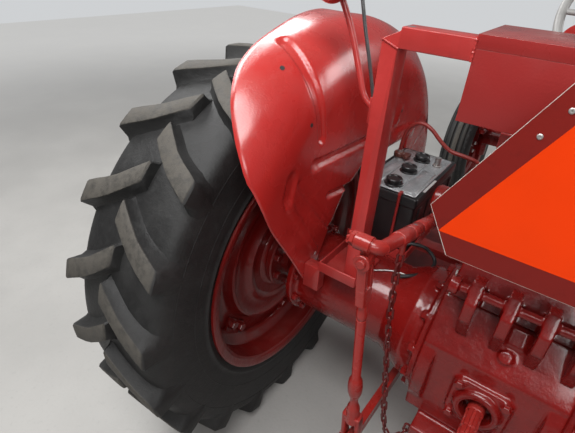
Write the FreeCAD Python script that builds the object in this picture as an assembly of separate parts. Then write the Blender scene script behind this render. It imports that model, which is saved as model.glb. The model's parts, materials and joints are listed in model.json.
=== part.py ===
import FreeCAD, Part
import math
import os

# Farm tractor of about 1960, in millimetres.
# It is modelled about the rear axle: X forward, Y to the left, Z up, the ground at Z 0 and the axle at X 0.
# At the end everything moves along X, so that the origin is the middle of the ground it covers.

V = FreeCAD.Vector

# Rear wheels, 11.2-28 tyres
REAR_RADIUS = 602.5
REAR_TRACK = 1514.0
REAR_HALF_WIDTH = 146.0
FENDER_PANEL_Y = REAR_TRACK / 2 - 257.0
REAR_RIM_RADIUS = 381.0
LUG_COUNT = 19
LUG_HEIGHT = 28.0
AXLE_RADIUS = 38.0

# Front wheels, 6.00-16 tyres
WHEELBASE = 2050.0
FRONT_RADIUS = 365.0
FRONT_TRACK = 1264.0
CAMBER = 2.5
KINGPIN_Y = FRONT_TRACK / 2 - 92.0
KINGPIN_RADIUS = 19.0
STEERING_ARM = 150.0
TIE_ROD_RADIUS = 12.0
TIE_ROD_EYE = 15.0

# Clearances
RUNNING = 0.3
MOVING = 5.0

# Cast housings and engine, from the rear face forward
REAR_FACE_X = -175.0
CENTRE_HALF = 150.0
CENTRE_TOP = REAR_RADIUS + 197.5
CENTRE_BOTTOM = REAR_RADIUS - 172.5
CENTRE_FRONT = 230.0
SLOPE_TOP_X = -110.0
SLOPE_LOW = CENTRE_TOP - 100.0
TRUMPET_RADIUS = 120.0
TRUMPET_ROOT = 195.0
TRUMPET_END = REAR_TRACK / 2 - 192.0
BELL_RADIUS = 155.0
FLANGE_RADIUS = BELL_RADIUS + 22.0
FLANGE_THICK = 17.0
FLANGE_NUTS = 12
NUT_SIZE = 19.0
NUT_HIGH = 12.0
GEARBOX_HALF = 130.0
GEARBOX_TOP = CENTRE_TOP - 60.0
GEARBOX_BOTTOM = CENTRE_BOTTOM + 10.0
ENGINE_X = WHEELBASE - 1090.0
CLUTCH_X = ENGINE_X - 260.0
ENGINE_LENGTH = 650.0
ENGINE_HALF = 120.0
ENGINE_TOP = 860.0
ENGINE_BOTTOM = 450.0
BOLSTER_FRONT = WHEELBASE + 120.0
BOLSTER_BOTTOM = 600.0
BOLSTER_TOP = 690.0
BOLSTER_HALF = 135.0

# Bonnet and nose
BONNET_REAR = ENGINE_X - 20.0
BONNET_FRONT = WHEELBASE + 20.0
NOSE_FRONT = BONNET_FRONT + 130.0
BONNET_HALF = 215.0
BONNET_TOP = 1285.0
BONNET_LOW = 985.0
BONNET_CORNER = 75.0
SHEET = 4.0

# Power take-off shaft
PTO_Z = REAR_RADIUS - 2.5
PTO_RADIUS = 17.45
PTO_END = -275.0
PTO_SHOULDER = PTO_END + 72.0
PTO_BORE = 34.0
PTO_COVER_HALF = 62.0
PTO_COVER_THICK = 12.0

# Three-point lift: the arms and the lower links turn in parallel
SHAFT_X = 70.0
SHAFT_Z = CENTRE_TOP + 125.0
ARM_BACK = 400.0
ARM_RISE = 40.0
ROD_FORWARD = 20.0
ROD_DROP = 550.0
ARM_Y = 240.0
ROD_TOP_Y = 282.0
LINK_Y = 220.0
LINK_LENGTH = 850.0
LIFT_SHAFT_RADIUS = 22.0
ARM_TUBE_RADIUS = 15.0
ARM_PIN_RADIUS = 10.0
SWIVEL_RADIUS = 18.0
SWIVEL_HALF = 20.0
ROD_RADIUS = 10.0

# Rear frame, tool box and warning triangle
POST_X = -120.0
POST_DEEP = 50.0
POST_OUTER = FENDER_PANEL_Y - 102.0
TRAY_RIGHT = POST_OUTER - 48.0
TRAY_LEFT = POST_OUTER + 60.0
TRAY_BACK = -150.0
TRAY_FRONT = 0.0
POST_WIDE = 35.0
TRAY_Z = TRUMPET_RADIUS + REAR_RADIUS
TRAY_THICK = 5.0
BOX_HALF = 226.0
BOX_DEEP = 180.0
BEAM_LOW = TRAY_Z + 566.5
BEAM_TOP = BEAM_LOW + 39.0
BOX_LOW = BEAM_LOW - 104.0
BOX_SEAM = BEAM_TOP - 17.0
LID_TOP = BEAM_TOP + 7.0
PLATE_X = -222.0
TRIANGLE_LOW = BOX_LOW - 172.0
TRIANGLE_SIDE = 356.0
BORDER = 45.0
PLATE_THICK = 2.0

# Battery
BATTERY_X = 74.0
BATTERY_LONG = 328.0
BATTERY_RIGHT = FENDER_PANEL_Y - 188.0
BATTERY_WIDE = 178.0
BATTERY_LOW = CENTRE_TOP - 92.0
BATTERY_TOP = BATTERY_LOW + 192.0

# Fender: a pressed shell turned about a point above and ahead of the axle
FENDER_X = 64.0
FENDER_Z = REAR_RADIUS + 123.5
FENDER_RADIUS = REAR_RADIUS - 27.5
FENDER_OUTER_Y = REAR_TRACK / 2 + 103.0
FENDER_CORNER = 140.0
FENDER_FRONT = 600.0
PLATFORM_TOP = REAR_RADIUS - 92.5
PLATFORM_THICK = 6.0

# Steering wheel
WHEEL_X = BONNET_REAR - 300.0
WHEEL_Z = 1330.0
WHEEL_RADIUS = 200.0
COLUMN_ANGLE = 35.0
COLUMN_RADIUS = 24.0

# Seat
SEAT_X = 130.0
SEAT_Z = CENTRE_TOP + 124.0
SEAT_LONG = 340.0
SEAT_HALF = 185.0
CUSHION_HIGH = 50.0


# Shape helpers

def block(x0, x1, y0, y1, z0, z1):
    return Part.makeBox(x1 - x0, y1 - y0, z1 - z0, V(x0, y0, z0))


def bar(start, end, radius):
    start, end = V(*start), V(*end)
    return Part.makeCylinder(radius, (end - start).Length, start, end - start)


def face_of(points):
    return Part.Face(Part.makePolygon([V(*p) for p in points] + [V(*points[0])]))


def plate_y(outline, y0, y1):
    """A slab across the tractor from an outline of (x, z) points."""
    return face_of([(x, y0, z) for x, z in outline]).extrude(V(0, y1 - y0, 0))


def plate_x(outline, x0, x1):
    """A slab along the tractor from an outline of (y, z) points."""
    return face_of([(x0, y, z) for y, z in outline]).extrude(V(x1 - x0, 0, 0))


def plate_z(outline, z0, z1):
    """A level slab from an outline of (x, y) points."""
    return face_of([(x, y, z0) for x, y in outline]).extrude(V(0, 0, z1 - z0))


def turned_y(outline, x=0.0, y=0.0, z=0.0):
    """A ring about an axle along Y from an outline of (radius, offset) points."""
    face = face_of([(x + r, y + o, z) for r, o in outline])
    return face.revolve(V(x, y, z), V(0, 1, 0), 360)


def turned_x(outline, x=0.0, y=0.0, z=0.0):
    """A ring about an axis along X from an outline of (radius, offset) points."""
    face = face_of([(x + o, y + r, z) for r, o in outline])
    return face.revolve(V(x, y, z), V(1, 0, 0), 360)


def turned_z(outline, x=0.0, y=0.0, z=0.0):
    """A ring about an upright axis from an outline of (radius, offset) points."""
    face = face_of([(x + r, y, z + o) for r, o in outline])
    return face.revolve(V(x, y, z), V(0, 0, 1), 360)


def on_line(start, end, outline):
    """A body turned about the line from start to end, from an outline of (radius, distance) points."""
    body = face_of([(r, 0, far) for r, far in outline]).revolve(V(0, 0, 0), V(0, 0, 1), 360)
    body.Placement = FreeCAD.Placement(V(*start), FreeCAD.Rotation(V(0, 0, 1), V(*end) - V(*start)))
    return body


def nut(place, direction, size=NUT_SIZE, height=NUT_HIGH):
    """A hexagon nut or bolt head that stands on place. Size is across its flats."""
    corners = []
    for n in range(6):
        a = math.radians(60 * n)
        corners.append((size / math.sqrt(3) * math.cos(a), size / math.sqrt(3) * math.sin(a), 0))
    body = face_of(corners).extrude(V(0, 0, height))
    body.Placement = FreeCAD.Placement(V(*place), FreeCAD.Rotation(V(0, 0, 1), V(*direction)))
    return body


def fused(pieces):
    return pieces[0].multiFuse(pieces[1:]).removeSplitter() if len(pieces) > 1 else pieces[0]


def set_of(pieces):
    return Part.makeCompound(pieces)


def mirrored(shape):
    return shape.mirror(V(0, 0, 0), V(0, 1, 0))


def moved(shape, x, y, z):
    copy = shape.copy()
    copy.translate(V(x, y, z))
    return copy


def rounded_outline(half, low, top, radius, x):
    """An arch of (y, z) at x: two upright sides and a top with round corners."""
    mid = radius * (1 - math.sqrt(0.5))
    lines = [
        Part.LineSegment(V(x, -half, low), V(x, -half, top - radius)),
        Part.Arc(V(x, -half, top - radius), V(x, -half + mid, top - mid), V(x, -half + radius, top)),
        Part.LineSegment(V(x, -half + radius, top), V(x, half - radius, top)),
        Part.Arc(V(x, half - radius, top), V(x, half - mid, top - mid), V(x, half, top - radius)),
        Part.LineSegment(V(x, half, top - radius), V(x, half, low)),
        Part.LineSegment(V(x, half, low), V(x, -half, low)),
    ]
    return Part.Wire([line.toShape() for line in lines])


def cord(name, points, diameter):
    """A round cord along straight runs joined by tangent arcs."""
    points = [V(*p) for p in points]
    edges = []
    here = points[0]
    radii = []
    length = 0.0
    for before, corner, after in zip(points, points[1:], points[2:]):
        back, ahead = before - corner, after - corner
        turn = math.pi - back.getAngle(ahead)
        cut = 0.45 * min(back.Length, ahead.Length)
        radius = cut / math.tan(turn / 2)
        radii.append(radius)
        back.normalize()
        ahead.normalize()
        start, end = corner + back * cut, corner + ahead * cut
        inward = back + ahead
        inward.normalize()
        middle = corner + inward * (radius / math.cos(turn / 2) - radius)
        edges.append(Part.LineSegment(here, start).toShape())
        edges.append(Part.Arc(start, middle, end).toShape())
        here = end
    edges.append(Part.LineSegment(here, points[-1]).toShape())
    path = Part.Wire(edges)
    ring = Part.Wire([Part.makeCircle(diameter / 2, points[0], points[1] - points[0])])
    solid = path.makePipeShell([ring], True, True)
    section = math.pi * diameter ** 2 / 4
    print(name, "length", round(path.Length), "least radius", round(min(radii), 1),
          "volume share", round(solid.Volume / (section * path.Length), 4))
    return solid


# Rear wheels

REAR_HUB_Y = REAR_TRACK / 2
TREAD_FLOOR = REAR_RADIUS - LUG_HEIGHT
SIDE_HIGH = TREAD_FLOOR - REAR_RIM_RADIUS
BEAD_SEAT = REAR_RIM_RADIUS - 23.7

# Tyre's skin from crown to bead: share of the height above the rim's edge, share of the half width
REAR_SKIN = [(1.0, 0.0), (0.99, 0.66), (0.86, 0.96), (0.57, 1.0), (0.016, 0.918)]


def rear_tyre():
    outer = [(REAR_RIM_RADIUS + high * SIDE_HIGH, wide * REAR_HALF_WIDTH) for high, wide in REAR_SKIN]
    outer += [(REAR_RIM_RADIUS, RIM_LIP_Y - 0.3), (BEAD_SEAT, RIM_LIP_Y - 6.3), (BEAD_SEAT, RIM_LIP_Y - 32.8)]
    inner = [(REAR_RIM_RADIUS + 39, REAR_HALF_WIDTH - 22), (TREAD_FLOOR - 34.5, REAR_HALF_WIDTH - 24),
             (TREAD_FLOOR - 14.5, 0)]
    carcass = turned_y(both_ways_ring(outer, inner), 0, REAR_HUB_Y, REAR_RADIUS)
    shoulder = TREAD_FLOOR - 26.5
    lug_zone = [(TREAD_FLOOR - 8.5, -12), (REAR_RADIUS, -12), (REAR_RADIUS, REAR_HALF_WIDTH - 28),
                (REAR_RADIUS - 2.5, REAR_HALF_WIDTH), (TREAD_FLOOR, REAR_HALF_WIDTH + 2.5),
                (shoulder, REAR_HALF_WIDTH + 1), (shoulder - 13, REAR_HALF_WIDTH - 3),
                (shoulder - 13, REAR_HALF_WIDTH - 9), (shoulder, REAR_HALF_WIDTH - 15), (TREAD_FLOOR - 10, 90)]
    zone = turned_y(lug_zone, 0, 0, 0)
    lug = lug_blank().common(zone)
    pitch = 360.0 / LUG_COUNT
    lugs = []
    for side, stagger in ((1, 0.0), (-1, 0.5)):
        for n in range(LUG_COUNT):
            copy = lug.copy() if side > 0 else mirrored(lug)
            copy.rotate(V(0, 0, 0), V(0, 1, 0), -(FIRST_LUG + (n + stagger) * pitch))
            lugs.append(moved(copy, 0, REAR_HUB_Y, REAR_RADIUS))
    return carcass.multiFuse(lugs)


FIRST_LUG = 103.5
RIM_LIP_Y = REAR_HALF_WIDTH - 13.2

# Lug outline on the flattened tread: offset from the centre line, leading edge, trailing edge
LUG_OUTLINE = [(-9, -76, -28), (62, -20, 28), (REAR_HALF_WIDTH + 6, 26, 78)]


def lug_blank():
    leading = [(front, y) for y, front, back in LUG_OUTLINE]
    trailing = [(back, y) for y, front, back in reversed(LUG_OUTLINE)]
    face = face_of([(REAR_RADIUS + 20, y, s) for s, y in leading + trailing])
    return face.extrude(V(-LUG_HEIGHT - 82, 0, 0))


def both_ways_ring(outer, inner):
    """A closed ring outline from the outer half and the inner half, each from offset 0 outwards and back."""
    half = outer + inner
    mirror_half = [(r, -o) for r, o in reversed(half) if o > 0]
    return half + mirror_half


# Section of the rim, outside and inside: radius below the rim's edge, offset from the middle of the wheel
RIM_OUTSIDE = [(63, 0), (63, 45), (29, 62), (24, RIM_LIP_Y - 5.8), (0, RIM_LIP_Y), (-2, RIM_LIP_Y + 8.2)]
RIM_INSIDE = [(3, RIM_LIP_Y + 12.2), (29, RIM_LIP_Y + 6.2), (35, 66), (69, 49), (69, 0)]
# Section of the dished disc: radius, distance inboard of the middle of the wheel
DISC_INBOARD = [(60, 97), (112, 97), (124, 86), (150, 84), (160, 90), (170, 89), (182, 75), (225, 73), (234, 79),
                (244, 74), (262, 45), (312.5, 41)]
DISC_THICK = 9.0
HUB_FACE = REAR_HUB_Y - 97.0
BOLT_CIRCLE = 90.0


def rear_rim():
    """Rim, dished disc, hub with its bolts, and the lugs that hold the disc in the rim."""
    outside = [(REAR_RIM_RADIUS - deep, o) for deep, o in RIM_OUTSIDE]
    inside = [(REAR_RIM_RADIUS - deep, o) for deep, o in RIM_INSIDE]
    rim = turned_y(both_ways_ring(outside, inside), 0, REAR_HUB_Y, REAR_RADIUS)
    back = [(r, REAR_HUB_Y - inboard) for r, inboard in DISC_INBOARD]
    disc = turned_y(back + [(r, y + DISC_THICK) for r, y in reversed(back)], 0, 0, REAR_RADIUS)
    hub = turned_y([(0, TRUMPET_END - 35), (AXLE_RADIUS, TRUMPET_END - 35), (AXLE_RADIUS, HUB_FACE - 60),
                    (62, HUB_FACE - 45), (62, HUB_FACE - 20), (112, HUB_FACE - 20), (112, HUB_FACE), (60, HUB_FACE),
                    (60, HUB_FACE + 30), (52, HUB_FACE + 48), (0, HUB_FACE + 48)], 0, 0, REAR_RADIUS)
    pieces = [rim, disc, hub]
    for n in range(8):
        a = math.radians(22.5 + n * 45)
        x, z = BOLT_CIRCLE * math.cos(a), REAR_RADIUS + BOLT_CIRCLE * math.sin(a)
        pieces.append(bar((x, HUB_FACE - 5, z), (x, HUB_FACE + 28, z), 11))
    well = REAR_RIM_RADIUS - 63
    for n in range(6):
        lug = plate_y([(well - 30, -42), (well, -30), (well, 30), (well - 30, 42)], REAR_HUB_Y - 57, REAR_HUB_Y)
        lug.rotate(V(0, 0, 0), V(0, 1, 0), 60 * n + 15)
        pieces.append(moved(lug, 0, 0, REAR_RADIUS))
    return fused(pieces)


# Front wheels and steering

# Half outline of the ribbed front tread: depth below the top, offset
FRONT_TREAD = [(0, 0), (0, 13), (12, 16), (12, 25), (3, 28), (5, 45), (15, 48), (16, 56), (12, 59), (20, 72)]
# The side from shoulder to bead: height above the bead's seat, offset
FRONT_SIDE = [(79.7, 82.5), (39.7, 72), (18.7, 61), (0, 55.5), (0, 38)]
FRONT_RIM_RADIUS = 205.3
HUB_IN = -48.0
HUB_OUT = 40.0
STUB_RADIUS = 17.0


def wheel_height():
    c = math.radians(CAMBER)
    return max((FRONT_RADIUS - r) * math.cos(c) + y * math.sin(c) for r, y in FRONT_TREAD)


def tilted(shape):
    """From a wheel made about the Y axis at the origin to the left front wheel's place."""
    copy = shape.copy()
    copy.rotate(V(0, 0, 0), V(1, 0, 0), -CAMBER)
    copy.translate(V(WHEELBASE, FRONT_TRACK / 2, wheel_height()))
    return copy


def front_tyre():
    outer = [(FRONT_RADIUS - deep, o) for deep, o in FRONT_TREAD]
    outer += [(FRONT_RIM_RADIUS + high, o) for high, o in FRONT_SIDE]
    inner = [(FRONT_RIM_RADIUS + 40, 60), (FRONT_RADIUS - 47, 66), (FRONT_RADIUS - 25, 0)]
    return tilted(turned_y(both_ways_ring(outer, inner)))


def front_rim():
    edge = FRONT_RIM_RADIUS
    rim = turned_y(both_ways_ring([(edge - 27.3, 0), (edge - 27.3, 20), (edge - 5.3, 30), (edge - 0.3, 56),
                                   (edge + 18, 62), (edge + 20, 67)],
                                  [(edge + 16, 70), (edge - 4, 62), (edge - 10, 34), (edge - 32, 24), (edge - 32, 0)]))
    seat = edge - 31.8
    disc = turned_y([(70, -4), (110, -4), (135, 14), (seat, 18), (seat, 24), (132, 20), (107, 2), (70, 2)])
    bore = STUB_RADIUS + RUNNING
    hub = turned_y([(bore, HUB_IN), (40, HUB_IN), (40, -20), (78, -12), (78, -4), (70, -4), (70, 4), (40, 12),
                    (40, 44), (32, 54), (0, 54), (0, 44), (bore, 44)])
    nuts = []
    for n in range(5):
        a = math.radians(72 * n)
        x, z = 57 * math.cos(a), 57 * math.sin(a)
        nuts.append(bar((x, -14, z), (x, 12, z), 9))
    return tilted(fused([rim, disc, hub] + nuts))


AXLE_TOP = 520.0
AXLE_BOSS = 106.0
AXLE_BOTTOM = AXLE_TOP - AXLE_BOSS
PIVOT_Z = AXLE_TOP - 45.0
PIVOT_RADIUS = 21.5


def knuckle():
    """The kingpin with its stub axle and steering arm, left side."""
    pin_x, pin_y = WHEELBASE, KINGPIN_Y
    c = math.radians(CAMBER)
    reach = FRONT_TRACK / 2 - KINGPIN_Y
    axle_z = wheel_height() + reach * math.tan(c)
    end = (HUB_OUT + reach) * math.cos(c)
    pin = bar((pin_x, pin_y, axle_z), (pin_x, pin_y, AXLE_TOP + 58), KINGPIN_RADIUS)
    elbow = bar((pin_x, pin_y, axle_z - 34), (pin_x, pin_y, AXLE_BOTTOM - RUNNING), 30)
    stub = bar((pin_x, pin_y, axle_z), (pin_x, pin_y + end, axle_z - end * math.tan(c)), STUB_RADIUS)
    flange = bar((pin_x, pin_y, axle_z), (pin_x, pin_y + 24, axle_z - 24 * math.tan(c)), 27)
    arm = plate_z([(pin_x - STEERING_ARM, pin_y - 17), (pin_x - 20, pin_y - 30), (pin_x + 28, pin_y - 24),
                   (pin_x + 28, pin_y + 24), (pin_x - 20, pin_y + 30), (pin_x - STEERING_ARM, pin_y + 17)],
                  AXLE_TOP + 1, AXLE_TOP + 22)
    ball_end = bar((pin_x - STEERING_ARM, pin_y, AXLE_TOP + 1), (pin_x - STEERING_ARM, pin_y, AXLE_TOP + 22), 20)
    ball = bar((pin_x - STEERING_ARM, pin_y, AXLE_TOP + 22), (pin_x - STEERING_ARM, pin_y, ROD_END_Z + 20), 7)
    nut = bar((pin_x, pin_y, AXLE_TOP + 22), (pin_x, pin_y, AXLE_TOP + 50), 26)
    return fused([pin, elbow, stub, flange, arm, ball_end, ball, nut])


ROD_END_Z = 565.0
CENTRE_STEER_X = WHEELBASE - 130.0
CENTRE_BALL_X = CENTRE_STEER_X - STEERING_ARM


def tie_rod(centre_z):
    """The rod from the left knuckle's ball to the centre arm's ball."""
    outer = (WHEELBASE - STEERING_ARM, KINGPIN_Y, ROD_END_Z)
    inner = (CENTRE_BALL_X, 0, centre_z)
    along = V(*inner) - V(*outer)
    along.normalize()
    start, end = V(*outer) + along * 14, V(*inner) - along * 14
    rod = bar(tuple(start), tuple(end), TIE_ROD_RADIUS)
    eyes = [bar((x, y, z - 13), (x, y, z + 13), TIE_ROD_EYE) for x, y, z in (outer, inner)]
    bores = [bar((x, y, z - 20), (x, y, z + 20), 7 + RUNNING) for x, y, z in (outer, inner)]
    sleeves = [bar(tuple(V(*outer) + along * a), tuple(V(*outer) + along * b), 16)
               for a, b in ((30, 110), (200, 250))]
    return fused([rod] + eyes + sleeves).cut(set_of(bores))


UPPER_BALL_Z = 565.0
LOWER_BALL_Z = 519.0


def centre_arm():
    """The drop arm on the upright steering shaft under the front casting."""
    shaft = bar((CENTRE_STEER_X, 0, 530), (CENTRE_STEER_X, 0, BOLSTER_BOTTOM + 40), 18)
    outline = [(CENTRE_BALL_X, -17), (CENTRE_STEER_X, -34), (CENTRE_STEER_X, 34), (CENTRE_BALL_X, 17)]
    arm = plate_z(outline, 534, 550)
    boss = bar((CENTRE_STEER_X, 0, 528), (CENTRE_STEER_X, 0, 556), 34)
    end = bar((CENTRE_BALL_X, 0, 534), (CENTRE_BALL_X, 0, 550), 19)
    pin = bar((CENTRE_BALL_X, 0, LOWER_BALL_Z - 20), (CENTRE_BALL_X, 0, UPPER_BALL_Z + 20), 7)
    return fused([shaft, arm, boss, end, pin])


def front_axle():
    low, deep = AXLE_BOTTOM, 76
    x = WHEELBASE
    half = [(90, low + 20), (300, low + 6), (KINGPIN_Y, low + 8), (KINGPIN_Y, AXLE_TOP - 34), (300, AXLE_TOP - 24),
            (90, AXLE_TOP)]
    outline = half + [(-y, z) for y, z in reversed(half)]
    beam = plate_x(outline, x - deep / 2, x + deep / 2)
    bosses = [bar((x, s * KINGPIN_Y, low), (x, s * KINGPIN_Y, AXLE_TOP), 38) for s in (1, -1)]
    holes = [bar((x, s * KINGPIN_Y, low - 5), (x, s * KINGPIN_Y, AXLE_TOP + 5), KINGPIN_RADIUS + RUNNING)
             for s in (1, -1)]
    pivot = bar((x - deep, 0, PIVOT_Z), (x + deep, 0, PIVOT_Z), PIVOT_RADIUS + RUNNING)
    return fused([beam] + bosses).cut(set_of(holes + [pivot]))


def front_bolster():
    """The front casting that carries the radiator and the axle pivot."""
    x0 = ENGINE_X + ENGINE_LENGTH
    x1 = BOLSTER_FRONT
    plan = [(x0, -BOLSTER_HALF), (x0, BOLSTER_HALF), (x1 - 60, 105), (x1, 70), (x1, -70), (x1 - 60, -105)]
    body = plate_z(plan, BOLSTER_BOTTOM, BOLSTER_TOP)
    back = block(x0, x0 + 24, -BOLSTER_HALF, BOLSTER_HALF, 500, 860)
    gap = 38 + 4
    ears = [plate_x([(-60, BOLSTER_BOTTOM), (-32, PIVOT_Z - 34), (32, PIVOT_Z - 34), (60, BOLSTER_BOTTOM)],
                    WHEELBASE + a, WHEELBASE + b) for a, b in ((-gap - 22, -gap), (gap, gap + 22))]
    pin = bar((WHEELBASE - gap - 30, 0, PIVOT_Z), (WHEELBASE + gap + 30, 0, PIVOT_Z), PIVOT_RADIUS)
    shaft_hole = bar((CENTRE_STEER_X, 0, BOLSTER_BOTTOM - 5), (CENTRE_STEER_X, 0, BOLSTER_BOTTOM + 45), 18 + RUNNING)
    return fused([body, back] + ears + [pin]).cut(shaft_hole)


# Castings between the rear wheels

def rear_axle_housing():
    outline = [(REAR_FACE_X, 480), (REAR_FACE_X, SLOPE_LOW), (SLOPE_TOP_X, CENTRE_TOP), (CENTRE_FRONT, CENTRE_TOP),
               (CENTRE_FRONT, CENTRE_BOTTOM), (-120, CENTRE_BOTTOM)]
    centre = plate_y(outline, -CENTRE_HALF, CENTRE_HALF)
    end = TRUMPET_END
    trumpet = [(0, 100), (TRUMPET_ROOT, 118), (TRUMPET_ROOT, CENTRE_HALF), (BELL_RADIUS + 3, CENTRE_HALF + 2),
               (BELL_RADIUS, CENTRE_HALF + 55), (TRUMPET_RADIUS, CENTRE_HALF + 122), (TRUMPET_RADIUS, end - 24),
               (TRUMPET_RADIUS + 20, end - 20), (TRUMPET_RADIUS + 20, end), (AXLE_RADIUS + 1, end),
               (AXLE_RADIUS + 1, end - 41), (0, end - 41)]
    root, face = CENTRE_HALF, CENTRE_HALF + FLANGE_THICK
    flange = turned_y([(100, root), (FLANGE_RADIUS, root), (FLANGE_RADIUS, face), (100, face)], 0, 0, REAR_RADIUS)
    left = fused([turned_y(trumpet, 0, 0, REAR_RADIUS), flange] + ring_of_nuts(face, FLANGE_RADIUS - 12))
    bore = bar((REAR_FACE_X - 30, 0, PTO_Z), (REAR_FACE_X + 12, 0, PTO_Z), PTO_BORE)
    lugs = []
    for y0, y1 in ((LINK_Y - 27, LINK_Y - 15), (LINK_Y + 15, LINK_Y + 27)):
        top, low = REAR_RADIUS - 82, LINK_Z - 35
        lugs.append(plate_y([(LINK_X - 50, top), (LINK_X - 30, low + 10), (LINK_X - 15, low), (LINK_X + 15, low),
                             (LINK_X + 30, low + 10), (LINK_X + 50, top)], y0, y1))
    brackets = fused(lugs)
    pin = bar((LINK_X, LINK_Y - 34, LINK_Z), (LINK_X, LINK_Y + 34, LINK_Z), 11)
    lug_left = fused([brackets, pin])
    hitch = block(-225, 60, -HITCH_HALF, HITCH_HALF, DRAWBAR_Z + DRAWBAR_THICK, HITCH_TOP)
    whole = fused([centre, left, mirrored(left), lug_left, mirrored(lug_left), hitch] + back_details())
    return whole.cut(bore)


def ring_of_nuts(y, radius):
    """Nuts on an upright face about the rear axle, pointing left."""
    nuts = []
    for n in range(FLANGE_NUTS):
        a = math.radians((n + 0.5) * 360 / FLANGE_NUTS)
        nuts.append(nut((radius * math.cos(a), y, REAR_RADIUS + radius * math.sin(a)), (0, 1, 0)))
    return nuts


def slope_point(share, proud):
    """X and height on the casting's sloping back, by share of its length upwards and height off its face."""
    run, rise = SLOPE_TOP_X - REAR_FACE_X, CENTRE_TOP - SLOPE_LOW
    long = math.hypot(run, rise)
    return REAR_FACE_X + run * share - rise / long * proud, SLOPE_LOW + rise * share + run / long * proud


def back_details():
    """The bolted cover and boss round the power take-off, and the raised panel and plug on the sloping back."""
    x, half, cut = REAR_FACE_X, PTO_COVER_HALF, 14
    outline = [(-half, PTO_Z - half + cut), (-half + cut, PTO_Z - half), (half - cut, PTO_Z - half),
               (half, PTO_Z - half + cut), (half, PTO_Z + half - cut), (half - cut, PTO_Z + half),
               (-half + cut, PTO_Z + half), (-half, PTO_Z + half - cut)]
    face = x - PTO_COVER_THICK
    cover = plate_x(outline, face, x + 5)
    boss = turned_x([(0, -26), (46, -26), (51, -21), (53, 5), (0, 5)], x, 0, PTO_Z)
    bolts = [nut((face, y * (half - 13), PTO_Z + z * (half - 13)), (-1, 0, 0), 17, 10)
             for y, z in ((-1, -1), (-1, 1), (1, -1), (1, 1))]
    panel = plate_y([slope_point(0.62, -3), slope_point(0.62, 5), slope_point(0.95, 5), slope_point(0.95, -3)],
                    -35, -1)
    (x0, z0), (x1, z1) = slope_point(0.40, -3), slope_point(0.40, 9)
    plug = bar((x0, -10, z0), (x1, -10, z1), 15)
    return [cover, boss, panel, plug] + bolts


LINK_X = SHAFT_X + ROD_FORWARD
LINK_Z = SHAFT_Z - ROD_DROP
DRAWBAR_Z = CENTRE_BOTTOM - 58.0
DRAWBAR_THICK = 24.0
DRAWBAR_HALF = 38.0
DRAWBAR_END = -470.0
HITCH_HALF = 112.0
HITCH_TOP = CENTRE_BOTTOM + 40.0


def drawbar():
    """The flat bar under the housing that trailed tools hook to."""
    low, top = DRAWBAR_Z, DRAWBAR_Z + DRAWBAR_THICK
    front = CENTRE_FRONT - 50
    flat = block(DRAWBAR_END, front, -DRAWBAR_HALF, DRAWBAR_HALF, low, top)
    end = bar((DRAWBAR_END, 0, low), (DRAWBAR_END, 0, top), DRAWBAR_HALF)
    hole = bar((DRAWBAR_END, 0, low - 5), (DRAWBAR_END, 0, top + 5), 13)
    strap = block(front - 30, front, -60, 60, top, CENTRE_BOTTOM)
    return fused([flat, end, strap]).cut(hole)


EARS_Y = [-122.0, -53.0, 17.0, 87.0]
EAR_ROD_END = CENTRE_HALF - 22.0


def lift_housing():
    """The cover over the lift cylinder, with ears across its sloping back."""
    cover = plate_y([(SLOPE_TOP_X, CENTRE_TOP), (SLOPE_TOP_X + 50, CENTRE_TOP + 80), (30, SHAFT_Z + 15),
                     (110, SHAFT_Z + 15), (190, CENTRE_TOP + 80), (CENTRE_FRONT, CENTRE_TOP + 80),
                     (CENTRE_FRONT, CENTRE_TOP)], -CENTRE_HALF + 10, CENTRE_HALF - 10)
    barrel = bar((SHAFT_X, -165, SHAFT_Z), (SHAFT_X, 165, SHAFT_Z), 44)
    shaft = bar((SHAFT_X, -170, SHAFT_Z), (SHAFT_X, 170, SHAFT_Z), LIFT_SHAFT_RADIUS + RUNNING)
    rod_x, rod_z = REAR_FACE_X + 25, CENTRE_TOP + 63
    ears = []
    for y in EARS_Y:
        ears.append(plate_y([slope_point(0.4, 0), (REAR_FACE_X - 3, rod_z - 60), (REAR_FACE_X - 3, rod_z - 15),
                             (rod_x, rod_z + 27), (rod_x + 32, rod_z + 22), (SLOPE_TOP_X + 26, CENTRE_TOP + 35),
                             (SLOPE_TOP_X, CENTRE_TOP)], y - 12, y + 12))
    rod = bar((rod_x, -EAR_ROD_END, rod_z), (rod_x, EAR_ROD_END, rod_z), 10)
    caps = [bar((rod_x, s * (EAR_ROD_END - 8), rod_z), (rod_x, s * (EAR_ROD_END + 12), rod_z), 21) for s in (1, -1)]
    bolts = [nut((x, s * 118, CENTRE_TOP + 80), (0, 0, 1), 17, 10) for x in (-40, CENTRE_FRONT - 20) for s in (1, -1)]
    return fused([cover, barrel] + ears + [rod] + caps + bolts).cut(shaft)


BELL_HALF = 200.0
BELL_BOTTOM = 410.0
BELL_TOP = 830.0
LID_HIGH = GEARBOX_TOP + 30.0


def rectangle_x(x, half, low, top):
    corners = [(-half, low), (half, low), (half, top), (-half, top), (-half, low)]
    return Part.makePolygon([V(x, y, z) for y, z in corners])


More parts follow.
